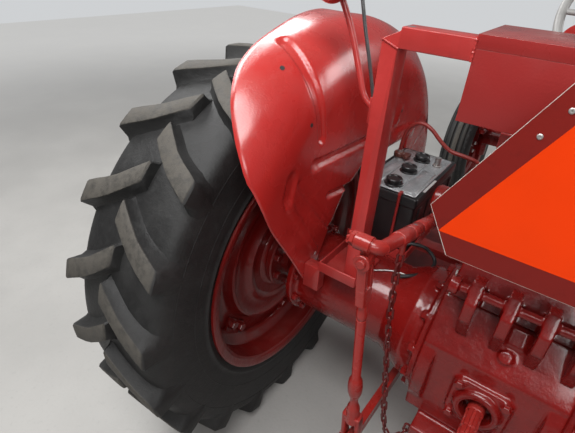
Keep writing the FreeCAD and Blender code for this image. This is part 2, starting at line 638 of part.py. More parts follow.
def gearbox():
    box = block(CENTRE_FRONT, CLUTCH_X, -GEARBOX_HALF, GEARBOX_HALF, GEARBOX_BOTTOM, GEARBOX_TOP)
    lid = block(CENTRE_FRONT + 30, CLUTCH_X - 20, -95, 95, GEARBOX_TOP, LID_HIGH)
    rear = rectangle_x(CLUTCH_X, GEARBOX_HALF, GEARBOX_BOTTOM, GEARBOX_TOP)
    front = rectangle_x(ENGINE_X, BELL_HALF, BELL_BOTTOM, BELL_TOP)
    bell = Part.makeLoft([rear, front], True, True)
    flange = block(ENGINE_X - 14, ENGINE_X, -BELL_HALF - 6, BELL_HALF + 6, BELL_BOTTOM - 6, BELL_TOP + 6)
    bolts = []
    for n in range(4):
        x = CENTRE_FRONT + 50 + n * (CLUTCH_X - CENTRE_FRONT - 90) / 3
        bolts += [nut((x, s * 82, LID_HIGH), (0, 0, 1), 15, 8) for s in (1, -1)]
    return fused([box, lid, bell, flange] + bolts)


# Engine

def engine_block():
    x0, x1 = ENGINE_X, ENGINE_X + ENGINE_LENGTH
    outline = [(-150, ENGINE_BOTTOM), (150, ENGINE_BOTTOM), (150, 610), (ENGINE_HALF, 650), (ENGINE_HALF, ENGINE_TOP),
               (-ENGINE_HALF, ENGINE_TOP), (-ENGINE_HALF, 650), (-150, 610)]
    crankcase = plate_x(outline, x0, x1)
    ledge = ENGINE_BOTTOM - 8
    sump = plate_x([(-142, ENGINE_BOTTOM), (-142, ledge), (-128, ledge), (-105, 350), (105, 350), (128, ledge),
                    (142, ledge), (142, ENGINE_BOTTOM)], x0 + 30, x1 - 20)
    cover_y = -ENGINE_HALF - 8
    cover = block(x0 + 35, x0 + 225, cover_y, -ENGINE_HALF, 670, 820)
    bolts = [nut((x0 + 50 + step, cover_y, z), (0, -1, 0), 15, 8) for step in (0, 80, 160) for z in (685, 805)]
    return fused([crankcase, sump, cover] + bolts)


def cylinder_head():
    x0, x1 = ENGINE_X + 20, ENGINE_X + ENGINE_LENGTH - 20
    head = block(x0, x1, -105, 105, ENGINE_TOP, ENGINE_TOP + 85)
    top = ENGINE_TOP + 155
    cover = plate_x([(-75, ENGINE_TOP + 85), (75, ENGINE_TOP + 85), (75, top - 25), (50, top), (-50, top),
                     (-75, top - 25)], x0 + 15, x1 - 15)
    outlet = bar((x1 - 5, 0, ENGINE_TOP + 45), (x1 + 35, 0, ENGINE_TOP + 45), 26)
    studs = [nut((x0 + 40 + n * (x1 - x0 - 80) / 5, s * 91, ENGINE_TOP + 85), (0, 0, 1)) for n in range(6)
             for s in (1, -1)]
    return fused([head, cover, outlet] + studs)


PORTS = [ENGINE_X + 110 + 145 * n for n in range(4)]
STACK_X = ENGINE_X + 330.0
STACK_Y = -150.0
SILENCER_LOW = BONNET_TOP + 55.0
SILENCER_LONG = 322.0
STACK_TOP = SILENCER_LOW + SILENCER_LONG + 128.0


def manifold():
    z = ENGINE_TOP + 42
    log = bar((PORTS[0] - 30, STACK_Y, z), (PORTS[-1] + 30, STACK_Y, z), 26)
    arms = [bar((x, -105, z), (x, STACK_Y, z), 22) for x in PORTS]
    riser = bar((STACK_X, STACK_Y, z), (STACK_X, STACK_Y, z + 70), 30)
    intake = bar((PORTS[0] - 30, -STACK_Y, z), (PORTS[-1] + 150, -STACK_Y, z), 22)
    ducts = [bar((x, 105, z), (x, -STACK_Y, z), 19) for x in PORTS]
    hot, cold = [log, riser] + arms, [intake] + ducts
    for x in PORTS:
        for s, side in ((-1, hot), (1, cold)):
            near, far = sorted((s * 105, s * 115))
            side.append(block(x - 46, x + 46, near, far, z - 24, z + 24))
            side += [nut((x + step, s * 115, z), (0, s, 0), 17, 10) for step in (-35, 35)]
    return set_of([fused(hot), fused(cold)])


def exhaust():
    base = ENGINE_TOP + 112
    pipe = bar((STACK_X, STACK_Y, base), (STACK_X, STACK_Y, STACK_TOP), 24)
    flange = bar((STACK_X, STACK_Y, base), (STACK_X, STACK_Y, base + 14), 42)
    low, top = SILENCER_LOW, SILENCER_LOW + SILENCER_LONG
    silencer = turned_z([(0, low), (30, low), (53, low + 22), (53, low + 52), (56, low + 54), (56, low + 66),
                         (53, low + 68), (53, top - 68), (56, top - 66), (56, top - 54), (53, top - 52),
                         (53, top - 22), (30, top), (0, top)], STACK_X, STACK_Y)
    return fused([pipe, flange, silencer])


def engine_fittings():
    """Injection pump, filters, dynamo, oil filter and starter, each on the block."""
    side = ENGINE_HALF
    x = ENGINE_X + 170
    pump = fused([block(x, x + 240, side, 215, 668, 760), block(x + 240, x + 270, side, 225, 655, 775),
                  block(x + 30, x + 210, 150, 190, 760, 792)])
    x = ENGINE_X + 470
    filters = fused([block(x, x + 140, side, 150, 800, 830)]
                    + [bar((x + step, 175, 690), (x + step, 175, 830), 38) for step in (25, 115)])
    x = ENGINE_X + 480
    dynamo = fused([bar((x, -200, 700), (x + 165, -200, 700), 52), block(x + 30, x + 130, -190, -side, 668, 690)])
    x = ENGINE_X + 290
    oil_filter = fused([bar((x, -195, 560), (x, -195, 740), 42), block(x - 25, x + 25, -180, -side, 690, 730)])
    starter = bar((ENGINE_X + 2, 190, 545), (ENGINE_X + 240, 190, 545), 39.5)
    return set_of([pump, filters, dynamo, oil_filter, starter])


FAN_Z = 880.0
BLADE_TIP = FAN_Z - BOLSTER_TOP - 12.0


def fan():
    """Water pump on its foot, pulley and four twisted blades."""
    x = ENGINE_X + ENGINE_LENGTH + 24
    pump = bar((x, 0, FAN_Z), (x + 30, 0, FAN_Z), 50)
    foot = block(x, x + 20, -50, 50, FAN_Z - 80, FAN_Z)
    pulley = bar((x + 30, 0, FAN_Z), (x + 55, 0, FAN_Z), 70)
    pieces = [pump, foot, pulley]
    for n in range(4):
        blade = block(x + 55, x + 60, -34, 34, 20, BLADE_TIP)
        blade.rotate(V(x + 57, 0, 0), V(0, 0, 1), 25)
        blade.rotate(V(x + 57, 0, 0), V(1, 0, 0), 90 * n + 20)
        pieces.append(moved(blade, 0, 0, FAN_Z))
    pieces.append(bar((x + 50, 0, FAN_Z), (x + 64, 0, FAN_Z), 40))
    return fused(pieces)


RADIATOR_X = ENGINE_X + ENGINE_LENGTH + 160.0
CORE_TOP = BONNET_TOP - 175.0


def radiator():
    x0, x1 = RADIATOR_X, RADIATOR_X + 70
    half = BONNET_HALF - 20
    core = block(x0 + 8, x1 - 8, -half + 5, half - 5, BOLSTER_TOP + 70, CORE_TOP)
    tanks = [block(x0, x1, -half, half, BOLSTER_TOP, BOLSTER_TOP + 70),
             block(x0 - 10, x1 + 10, -half, half, CORE_TOP, CORE_TOP + 80)]
    neck = turned_z([(0, 80), (26, 80), (26, 100), (33, 101), (33, 110), (28, 115), (0, 115)], x0 + 35, 0, CORE_TOP)
    return fused([core] + tanks + [neck])


# Sheet metal

def arch_solid(sections):
    """A loft through arches of (x, half width, low edge, top, corner radius)."""
    return Part.makeLoft([rounded_outline(half, low, top, corner, x) for x, half, low, top, corner in sections],
                         True, True)


def shrunk(sections, wall, deeper):
    return [(x, half - wall, low - deeper, top - wall, corner - wall) for x, half, low, top, corner in sections]


BONNET_SECTIONS = [(BONNET_REAR, BONNET_HALF, BONNET_LOW, BONNET_TOP, BONNET_CORNER),
                   (BONNET_FRONT, BONNET_HALF - 12, BONNET_LOW, BONNET_TOP - 35, BONNET_CORNER)]
NOSE_LOW = BOLSTER_TOP
NOSE_SECTIONS = [(BONNET_FRONT, BONNET_HALF - 12, NOSE_LOW, BONNET_TOP - 35, BONNET_CORNER),
                 (BONNET_FRONT + 85, BONNET_HALF - 20, NOSE_LOW, BONNET_TOP - 48, BONNET_CORNER + 4),
                 (NOSE_FRONT, BONNET_HALF - 55, NOSE_LOW, BONNET_TOP - 95, BONNET_CORNER + 10)]


def bonnet():
    shell = arch_solid(BONNET_SECTIONS).cut(arch_solid(shrunk(BONNET_SECTIONS, SHEET, 20)))
    hole = bar((STACK_X, STACK_Y, BONNET_TOP - 100), (STACK_X, STACK_Y, BONNET_TOP + 100), 34)
    rear, front = BONNET_REAR + 12, BONNET_FRONT - 12
    strip_top = plate_y([(rear, BONNET_TOP - 2), (front, BONNET_TOP - 36), (front, BONNET_TOP - 31),
                         (rear, BONNET_TOP + 3)], -9, 9)
    latches = []
    for x in (rear + 110, front - 130):
        side = BONNET_HALF - 12 * (x - BONNET_REAR) / (BONNET_FRONT - BONNET_REAR)
        latch = fused([block(x - 13, x + 13, side - 1, side + 4, BONNET_LOW + 14, BONNET_LOW + 60),
                       bar((x, side + 2, BONNET_LOW + 26), (x, side + 10, BONNET_LOW + 26), 9)])
        latches += [latch, mirrored(latch)]
    return fused([shell.cut(hole), strip_top] + latches)


def nose():
    shell = arch_solid(NOSE_SECTIONS)
    hollow = shrunk(NOSE_SECTIONS, SHEET, 20)
    x, half, low, top, corner = hollow[-1]
    hollow[-1] = (x - SHEET, half, low, top, corner)
    shell = shell.cut(arch_solid(hollow))
    window = plate_x([(-120, NOSE_LOW + 60), (120, NOSE_LOW + 60), (120, BONNET_TOP - 170), (90, BONNET_TOP - 140),
                      (-90, BONNET_TOP - 140), (-120, BONNET_TOP - 170)], NOSE_FRONT - 40, NOSE_FRONT + 10)
    floor = arch_solid(NOSE_SECTIONS).common(block(BONNET_FRONT, NOSE_FRONT, -300, 300, NOSE_LOW, NOSE_LOW + 5))
    return fused([shell.cut(window), floor])


def grille():
    """Level bars behind the nose's window, on two uprights."""
    x = NOSE_FRONT - SHEET - 16
    uprights = [block(x, x + 6, s - 6, s + 6, NOSE_LOW + 50, BONNET_TOP - 135) for s in (-70, 0, 70)]
    bars = []
    z = NOSE_LOW + 75
    while z < BONNET_TOP - 155:
        bars.append(block(x + 6, x + 15.7, -126, 126, z, z + 12))
        z += 30
    return fused(uprights + bars)


DASH_THICK = 12.0


def dash_panel():
    x, low = BONNET_REAR - DASH_THICK, BELL_TOP + 6
    face = Part.Face(rounded_outline(BONNET_HALF, low, BONNET_TOP, BONNET_CORNER, x))
    panel = face.extrude(V(DASH_THICK, 0, 0))
    hole = column_bar(200, 500, COLUMN_RADIUS + RUNNING)
    foot = block(x, ENGINE_X, -160, 160, low, low + 12)
    return fused([panel, foot]).cut(hole)


def column_bar(near, far, radius):
    """A round bar on the steering column's axis, between two distances below the wheel's hub."""
    c, s = math.cos(math.radians(COLUMN_ANGLE)), math.sin(math.radians(COLUMN_ANGLE))
    return bar((WHEEL_X + near * c, 0, WHEEL_Z - near * s), (WHEEL_X + far * c, 0, WHEEL_Z - far * s), radius)


def steering_column():
    tube = column_bar(55, 400, COLUMN_RADIUS)
    dash_x = BONNET_REAR - DASH_THICK
    height = WHEEL_Z - (dash_x - WHEEL_X) * math.tan(math.radians(COLUMN_ANGLE))
    collar = bar((dash_x - 8, 0, height), (dash_x, 0, height), COLUMN_RADIUS + 26)
    bore = column_bar(50, 130, 12 + RUNNING)
    return fused([tube, collar]).cut(bore)


def steering_wheel():
    """Rim, three spokes and hub, with the shaft's end down the column."""
    rim = Part.makeTorus(WHEEL_RADIUS, 13)
    hub = turned_z([(0, -34), (30, -34), (34, 4), (26, 14), (0, 14)])
    spokes = []
    for n in range(3):
        a = math.radians(90 + 120 * n)
        spokes.append(bar((0, 0, -8), (WHEEL_RADIUS * math.cos(a), WHEEL_RADIUS * math.sin(a), 0), 8))
    shaft = bar((0, 0, -125), (0, 0, -30), 12)
    wheel = fused([rim, hub] + spokes + [shaft])
    wheel.rotate(V(0, 0, 0), V(0, 1, 0), -(90 - COLUMN_ANGLE))
    return moved(wheel, WHEEL_X, 0, WHEEL_Z)


def headlamps():
    bowls = []
    x, y, z = BONNET_FRONT + 15, BONNET_HALF + 70, BONNET_LOW
    for s in (1, -1):
        bowl = turned_x([(0, -70), (35, -66), (66, -30), (80, 20), (80, 34), (74, 40), (0, 46)], x, s * y, z)
        stay = bar((x - 20, s * (BONNET_HALF - 12), z - 30), (x - 20, s * y, z - 30), 11)
        bowls.append(fused([bowl, stay]))
    return set_of(bowls)


# Fenders and platforms

FENDER_TIP = (-128.0, FENDER_Z - 86.0)
REAR_EDGE_SLOPE = 0.511


# Pressed grooves of the fender's panel: x and height above the fender's centre at each end, half width
GROOVES = [((-150, 287), (260, 264), 14), ((-62, 171), (200, 136), 11)]
# The rib from the panel over the shoulder: angle and distance from the fender's centre at each end, half width
RIB = ((119.0, 398.0), (112.0, 585.0), 16.5)
PRESS_DEEP = 6.0


def sheet_ring(near, far):
    """The fender's whole turned sheet, between two depths under its face."""
    y0, outer_y = FENDER_PANEL_Y, FENDER_OUTER_Y
    half_corner = math.sqrt(0.5)
    sides = []
    for deep in (near, far):
        radius, y, turn = FENDER_RADIUS - deep, y0 + deep, FENDER_CORNER - deep
        middle = V(radius - turn + turn * half_corner, y + turn - turn * half_corner, 0)
        sides.append((V(0, y, 0), V(radius - turn, y, 0), middle, V(radius, y + turn, 0), V(radius, outer_y - 60, 0),
                      V(radius - 14, outer_y, 0)))
    outer, inner = sides
    lines = [Part.LineSegment(outer[0], outer[1]), Part.Arc(*outer[1:4]), Part.LineSegment(outer[3], outer[4]),
             Part.LineSegment(outer[4], outer[5]), Part.LineSegment(outer[5], inner[5]),
             Part.LineSegment(inner[5], inner[4]), Part.LineSegment(inner[4], inner[3]),
             Part.Arc(inner[3], inner[2], inner[1]), Part.LineSegment(inner[1], inner[0]),
             Part.LineSegment(inner[0], outer[0])]
    ring = Part.Face(Part.Wire([line.toShape() for line in lines])).revolve(V(0, 0, 0), V(0, 1, 0), 360)
    return moved(ring, FENDER_X, 0, FENDER_Z)


def strip(start, end, half, y0, y1):
    """A slab across the tractor with round ends, from start to end in the upright plane."""
    (xa, za), (xb, zb) = start, end
    long = math.hypot(xb - xa, zb - za)
    dx, dz = -(zb - za) / long * half, (xb - xa) / long * half
    middle = plate_y([(xa + dx, za + dz), (xb + dx, zb + dz), (xb - dx, zb - dz), (xa - dx, za - dz)], y0, y1)
    return fused([middle, bar((xa, y0, za), (xa, y1, za), half), bar((xb, y0, zb), (xb, y1, zb), half)])


def fender():
    """The pressed shell over the left rear wheel, with its grooves and rib."""
    y0, outer_y = FENDER_PANEL_Y, FENDER_OUTER_Y
    shell = sheet_ring(0, SHEET)
    swells, hollows = [], []
    for (xa, za), (xb, zb), half in GROOVES:
        start, end = (xa, FENDER_Z + za), (xb, FENDER_Z + zb)
        swells.append(strip(start, end, half + SHEET, y0 + 1, y0 + SHEET + PRESS_DEEP))
        hollows.append(strip(start, end, half, y0 - 5, y0 + PRESS_DEEP))
    start, end = [(FENDER_X + reach * math.cos(math.radians(a)), FENDER_Z + reach * math.sin(math.radians(a)))
                  for a, reach in RIB[:2]]
    swells.append(sheet_ring(1, SHEET + PRESS_DEEP).common(strip(start, end, RIB[2] + SHEET, y0 - 5, y0 + 118)))
    hollows.append(sheet_ring(-5, PRESS_DEEP).common(strip(start, end, RIB[2], y0 - 10, y0 + 110)))
    shell = fused([shell] + swells).cut(set_of(hollows))
    top = FENDER_Z + FENDER_RADIUS + 50
    tip_x, tip_z = FENDER_TIP
    z = FENDER_Z
    outline = [FENDER_TIP, (-30, z + 64), (25, z + 142), (120, z + 199), (430, z + 199), (430, PLATFORM_TOP),
               (FENDER_FRONT - 80, PLATFORM_TOP), (FENDER_FRONT, z - 60), (FENDER_FRONT, top),
               (tip_x - (top - tip_z) * REAR_EDGE_SLOPE, top)]
    shell = shell.common(plate_y(outline, y0 - 20, outer_y + 20))
    bend_y = y0 + 50
    corner_cut = plate_z([(-900, bend_y), (-343, bend_y), (-343 + 0.88 * (outer_y + 40 - bend_y), outer_y + 40),
                          (-900, outer_y + 40)], 400, 1500)
    return shell.cut(corner_cut)


def platform():
    """A foot plate with its two arms to the housing, left side."""
    rear, front = CENTRE_FRONT + 70, ENGINE_X - 80
    near, far = GEARBOX_HALF + 60, FENDER_PANEL_Y + 20
    low = PLATFORM_TOP - PLATFORM_THICK
    plate = block(rear, front, near, far, low, PLATFORM_TOP)
    arms = [block(x, x + 50, GEARBOX_HALF, FENDER_PANEL_Y, low - 30, low) for x in (rear + 40, CLUTCH_X - 80)]
    lip = block(front - PLATFORM_THICK, front, near, far, PLATFORM_TOP, PLATFORM_TOP + 60)
    return fused([plate, lip] + arms)


# Rear frame with its trays, tool box and triangle

def frame_post():
    """The left post on its tray over the axle, with its half of the cross beam."""
    x0, x1 = POST_X, POST_X + POST_DEEP
    y0, y1 = POST_OUTER - POST_WIDE, POST_OUTER
    post = plate_x([(y0, TRAY_Z + TRAY_THICK), (y1, TRAY_Z + TRAY_THICK), (y1, BEAM_LOW + 14), (y0 - 14, BEAM_TOP),
                    (y0 - 30, BEAM_TOP), (y0 - 30, BEAM_LOW), (y0, BEAM_LOW)], x0, x1)
    back, t = TRAY_BACK, TRAY_THICK
    tray = block(back, TRAY_FRONT, TRAY_RIGHT, TRAY_LEFT, TRAY_Z, TRAY_Z + t)
    lips = [block(back, TRAY_FRONT, TRAY_LEFT - t, TRAY_LEFT, TRAY_Z, TRAY_Z + 30),
            block(back, back + t, TRAY_RIGHT, TRAY_LEFT, TRAY_Z, TRAY_Z + 30)]
    bracket = block(back, back + 32, TRAY_LEFT - t, FENDER_PANEL_Y, TRAY_Z - 70, TRAY_Z + t)
    beam = block(x0, x1, BOX_HALF, y0, BEAM_LOW, BEAM_TOP)
    return fused([post, beam, tray, bracket] + lips)


BOX_FRONT = POST_X + BOX_DEEP
BOX_SHEET = 2.0
HINGE_X = BOX_FRONT + 6
HINGE_Z = BOX_SEAM - 6
HINGE_LONG = 40.0
# Right ends of the box's two hinge barrels
HINGES_Y = [-170.0, 130.0]


def hinge_barrel(y):
    return bar((HINGE_X, y, HINGE_Z), (HINGE_X, y + HINGE_LONG, HINGE_Z), 6)


def tool_box():
    """The sheet box in the cross beam, open at the top, with its half of two hinges."""
    x0, x1, t = POST_X, BOX_FRONT, BOX_SHEET
    outer = block(x0, x1, -BOX_HALF, BOX_HALF, BOX_LOW, BOX_SEAM)
    inside = block(x0 + t, x1 - t, -BOX_HALF + t, BOX_HALF - t, BOX_LOW + t, BOX_SEAM + 5)
    barrels = []
    for y in HINGES_Y:
        leaf = block(x1, HINGE_X, y, y + HINGE_LONG, HINGE_Z - 6, HINGE_Z + 3)
        barrels.append(fused([hinge_barrel(y), leaf]))
    return fused([outer.cut(inside)] + barrels)


def tool_box_lid():
    """The shallow lid with its two hinge straps, beside the box's barrels."""
    x0, x1, t = POST_X, BOX_FRONT, BOX_SHEET
    outer = block(x0, x1, -BOX_HALF, BOX_HALF, BOX_SEAM + RUNNING, LID_TOP)
    inside = block(x0 + t, x1 - t, -BOX_HALF + t, BOX_HALF - t, BOX_SEAM - 5, LID_TOP - t)
    straps = []
    for y in (HINGES_Y[0] + HINGE_LONG + RUNNING, HINGES_Y[1] - HINGE_LONG - RUNNING):
        upright = block(HINGE_X + 3, HINGE_X + 6, y, y + HINGE_LONG, HINGE_Z, BOX_SEAM + 14)
        level = block(x1, HINGE_X + 6, y, y + HINGE_LONG, BOX_SEAM + 10, BOX_SEAM + 14)
        straps.append(fused([hinge_barrel(y), upright, level]))
    return fused([outer.cut(inside)] + straps)


def warning_plate():
    """The slow-vehicle plate: an orange triangle with a border, so six-sided, on a strap under the tool box."""
    high = TRIANGLE_SIDE * math.sqrt(3) / 2
    half, top = TRIANGLE_SIDE / 2, TRIANGLE_LOW + high
    reach = BORDER / math.cos(math.radians(30))
    right = [(BORDER * 0.15 + half * 0.82, TRIANGLE_LOW - BORDER), (half + reach / 2, TRIANGLE_LOW + BORDER),
             (reach, top)]
    outline = right + [(-y, z) for y, z in reversed(right)]
    sheet = plate_x(outline, PLATE_X, PLATE_X + PLATE_THICK)
    back = PLATE_X + PLATE_THICK
    arms = [block(back, POST_X, y - 12, y + 12, BOX_LOW + 2, BOX_LOW + 8) for y in (-30, 30)]
    strap = block(back, back + 5, -42, 42, BOX_LOW - 30, BOX_LOW + 8)
    return fused([sheet, strap] + arms)


# Battery

def battery_tray():
    x0, x1 = BATTERY_X - 8, BATTERY_X + BATTERY_LONG + 8
    y0, y1 = BATTERY_RIGHT - 8, BATTERY_RIGHT + BATTERY_WIDE + 2
    z = BATTERY_LOW
    tray = block(x0, x1, y0, y1, z - 5, z)
    lips = [block(x0, x1, y0, y0 + 4, z, z + 25), block(x0, x0 + 4, y0, y1, z, z + 25),
            block(x1 - 4, x1, y0, y1, z, z + 25)]
    arms = [block(x, x + 40, side, y1, z - 30, z - 5)
            for x, side in ((CENTRE_FRONT - 45, CENTRE_HALF + 2), (x1 - 50, GEARBOX_HALF))]
    hold_x, hold_y = BATTERY_X - RUNNING - 4, BATTERY_RIGHT + 48
    rod = bar((hold_x, hold_y, z), (hold_x, hold_y, BATTERY_TOP + 4), 4)
    hook = block(hold_x - 4, BATTERY_X + 10, hold_y - 4, hold_y + 4, BATTERY_TOP - 4 + RUNNING, BATTERY_TOP + 4)
    return fused([tray] + lips + arms + [rod, hook])


def battery_case():
    x0, y0 = BATTERY_X, BATTERY_RIGHT
    return block(x0, x0 + BATTERY_LONG, y0, y0 + BATTERY_WIDE, BATTERY_LOW, BATTERY_TOP - LID_DEEP)


CAPS_X = [BATTERY_X + 41, BATTERY_X + 145, BATTERY_X + 249]
LID_DEEP = 22.0


def battery_top():
    x0, y0 = BATTERY_X, BATTERY_RIGHT
    x1, y1 = x0 + BATTERY_LONG, y0 + BATTERY_WIDE
    lid = block(x0, x1, y0, y1, BATTERY_TOP - LID_DEEP, BATTERY_TOP - 4)
    panels = [block(x0 + 12, x1 - 12, y0 + 12, y1 - 12, BATTERY_TOP - 6, BATTERY_TOP - 2),
              block(x0 + 18, x1 - 64, y0 + 64, y1 - 62, BATTERY_TOP - 4, BATTERY_TOP)]
    caps = [turned_z([(0, -3), (26, -3), (26, 5), (19, 6), (19, 13), (23, 14), (23, 18), (15, 20), (0, 20)],
                     x, y0 + 88, BATTERY_TOP) for x in CAPS_X]
    posts = [turned_z([(0, -5), (14, -5), (14, 2), (10, 3), (10, 26), (0, 26)], x, y, BATTERY_TOP)
             for x, y in TERMINALS]
    return fused([lid] + panels + caps + posts)


# Battery posts: x, y
TERMINALS = [(BATTERY_X + 226, BATTERY_RIGHT + 154), (BATTERY_X + 248, BATTERY_RIGHT + 38)]


# Lift linkage, left side

ARM_END_X = SHAFT_X - ARM_BACK
ARM_END_Z = SHAFT_Z + ARM_RISE


# Arm with its sleeves: radius beyond the tube's, distance from the shaft
ARM_SLEEVES = [(0, 0), (0, 88), (4, 92), (4, 160), (2, 163), (2, 168), (4, 171), (4, 208), (0, 212), (0, 262),
               (3, 264), (3, 318), (0, 322)]


def lift_arms():
    """The rock shaft with an arm tube on each end; each arm turns outwards at its pin."""
    shaft = bar((SHAFT_X, -ARM_Y - 24, SHAFT_Z), (SHAFT_X, ARM_Y + 24, SHAFT_Z), LIFT_SHAFT_RADIUS)
    pieces = [shaft]
    long = math.hypot(ARM_BACK, ARM_RISE)
    outline = [(0, 0)] + [(ARM_TUBE_RADIUS + more, far) for more, far in ARM_SLEEVES]
    outline += [(ARM_TUBE_RADIUS, long), (0, long)]
    for s in (1, -1):
        start, end = (SHAFT_X, s * ARM_Y, SHAFT_Z), (ARM_END_X, s * ARM_Y, ARM_END_Z)
        outwards = (ARM_END_X, s * (ARM_Y + 100), ARM_END_Z)
        reach = ROD_TOP_Y - ARM_Y
        hub = bar((SHAFT_X, s * (165 + MOVING), SHAFT_Z), (SHAFT_X, s * (ARM_Y + 30), SHAFT_Z), 36)
        tube = on_line(start, end, outline)
        ball = Part.makeSphere(ARM_TUBE_RADIUS, V(*end))
        collar = reach - SWIVEL_HALF - 1
        elbow = on_line(end, outwards, [(0, 0), (ARM_TUBE_RADIUS, 0), (ARM_TUBE_RADIUS, collar - 4),
                                        (SWIVEL_RADIUS, collar - 3), (SWIVEL_RADIUS, collar),
                                        (ARM_PIN_RADIUS, collar), (ARM_PIN_RADIUS, reach + 34), (0, reach + 34)])
        lock = nut((ARM_END_X, s * (ROD_TOP_Y + SWIVEL_HALF + 1), ARM_END_Z), (0, s, 0), 28, 12)
        pieces += [hub, tube, ball, elbow, lock]
    pieces.append(bar((CHAIN[0][0], ARM_Y, CHAIN[0][2]), (CHAIN[0][0], ARM_Y, ARM_END_Z - ARM_TUBE_RADIUS), 7))
    return fused(pieces)


# Lift rod under its fork block, down to the knuckle over the lower fork: radius beyond the rod's, distance
ROD_TOP_STEPS = [(3, 100), (4, 108), (4, 126), (1, 132), (-1, 150), (-1, 157), (3, 158), (3, 164), (-1, 165),
                 (-1, 205), (0, 210)]
FORK_HALF = 20.0
FORK_CHEEK = 9.0


def lift_rod():
    """The adjustable rod from the arm's pin down to the lower link."""
    top = V(ARM_END_X, ROD_TOP_Y, ARM_END_Z)
    low = V(ARM_END_X + ROD_FORWARD, LINK_Y, ARM_END_Z - ROD_DROP)
    along = low - top
    full = along.Length
    along.normalize()
    swivel = bar(tuple(top + V(0, -SWIVEL_HALF, 0)), tuple(top + V(0, SWIVEL_HALF, 0)), SWIVEL_RADIUS)
    fork = Part.makeBox(32, 22, 100, V(-16, -11, 12))
    fork.Placement = FreeCAD.Placement(top, FreeCAD.Rotation(V(0, 0, 1), along))
    head = top + along * 45
    bolt = on_line(tuple(head), tuple(head + V(-1, 0, 0)),
                   [(0, 0), (15, 0), (15, 21), (11, 22), (11, 26), (8, 27), (8, 30), (0, 30)])
    knuckle = [(0, full - 128), (4, full - 122), (5, full - 110), (4, full - 98), (1, full - 92), (1, full - 60)]
    outline = [(0, 100)] + [(ROD_RADIUS + more, far) for more, far in ROD_TOP_STEPS + knuckle] + [(0, full - 60)]
    rod = on_line(tuple(top), tuple(low), outline)
    fork_x, fork_z = low.x, low.z
    cheeks = []
    for side in (-1, 1):
        near, far = sorted((LINK_Y + side * FORK_HALF, LINK_Y + side * (FORK_HALF - FORK_CHEEK)))
        cheeks.append(plate_y([(fork_x - 17, fork_z + 74), (fork_x - 18, fork_z - 12), (fork_x - 10, fork_z - 22),
                               (fork_x + 10, fork_z - 22), (fork_x + 18, fork_z - 12), (fork_x + 17, fork_z + 74)],
                              near, far))
    bridge = plate_y([(fork_x - 17, fork_z + 66), (fork_x + 17, fork_z + 66), (fork_x + 13, fork_z + 90),
                      (fork_x - 13, fork_z + 90)], LINK_Y - FORK_HALF, LINK_Y + FORK_HALF)
    pin = bar((fork_x, LINK_Y - 27, fork_z), (fork_x, LINK_Y + 27, fork_z), 10)
    hole = bar(tuple(top + V(0, -30, 0)), tuple(top + V(0, 30, 0)), ARM_PIN_RADIUS + RUNNING)
    return fused([swivel, fork, bolt, rod, bridge, pin] + cheeks).cut(hole)


def lower_link():
    """The flat bar from the housing to the ball that holds a tool."""
    rise = ARM_RISE / ARM_BACK
    back = LINK_LENGTH / math.hypot(1, rise)
    end_x, end_z = LINK_X - back, LINK_Z + back * rise
    h = 22.0
    y0, y1 = LINK_Y - 10, LINK_Y + 10
    flat = plate_y([(LINK_X, LINK_Z - h), (LINK_X, LINK_Z + h), (end_x, end_z + h), (end_x, end_z - h)], y0, y1)
    ends = [bar((x, y0, z), (x, y1, z), 30) for x, z in ((LINK_X, LINK_Z), (end_x, end_z))]
    slice_of_ball = block(end_x - 30, end_x + 30, LINK_Y - 17, LINK_Y + 17, end_z - 30, end_z + 30)
    ball = Part.makeSphere(27, V(end_x, LINK_Y, end_z)).common(slice_of_ball)
    rod_x, rod_z = ARM_END_X + ROD_FORWARD, ARM_END_Z - ROD_DROP
    holes = [bar((x, LINK_Y - 30, z), (x, LINK_Y + 30, z), radius)
             for x, z, radius in ((LINK_X, LINK_Z, 11 + RUNNING), (rod_x, rod_z, 10 + RUNNING), (end_x, end_z, 11.1))]
    return fused([flat, ball] + ends).cut(set_of(holes))


def pto_shaft():
    """The stub that drives an implement, with its thicker journal in the housing."""
    journal = bar((REAR_FACE_X + 12 - RUNNING, 0, PTO_Z), (PTO_SHOULDER, 0, PTO_Z), PTO_RADIUS + 1.5)
    stub = bar((PTO_SHOULDER, 0, PTO_Z), (PTO_END, 0, PTO_Z), PTO_RADIUS)
    return fused([journal, stub])


# Seat and controls

def seat_bracket():
    """The bent leaf from the lift cover to the pan."""
    low = SEAT_Z - 9
    leaf = block(SEAT_X + 20, SEAT_X + SEAT_LONG, -35, 35, low, SEAT_Z)
    foot = block(CENTRE_FRONT - 36, CENTRE_FRONT - 2, -35, 35, CENTRE_TOP + 80, low)
    return fused([leaf, foot])


def seat_pan():
    x, z, half = SEAT_X, SEAT_Z, SEAT_HALF
    front = x + SEAT_LONG
    pan = plate_y([(x, z + 14), (x, z + 40), (x + 10, z + 40), (x + 18, z + 10), (front - 15, z + 10),
                   (front, z + 4), (front, z), (x + 12, z)], -half, half)
    back = plate_y([(x, z + 14), (x - 34, z + 190), (x - 28, z + 192), (x + 8, z + 16)], -half + 10, half - 10)
    sides = [block(x + 30, front - 30, s * (half - 3) - 3, s * (half - 3) + 3, z + 8, z + 34) for s in (-1, 1)]
    return fused([pan, back] + sides)


def seat_cushion():
    low = SEAT_Z + 10 + RUNNING
    half = SEAT_HALF - 13
    return block(SEAT_X + 26, SEAT_X + SEAT_LONG - 20, -half, half, low, low + CUSHION_HIGH)


GEARBOX_LONG = CLUTCH_X - CENTRE_FRONT


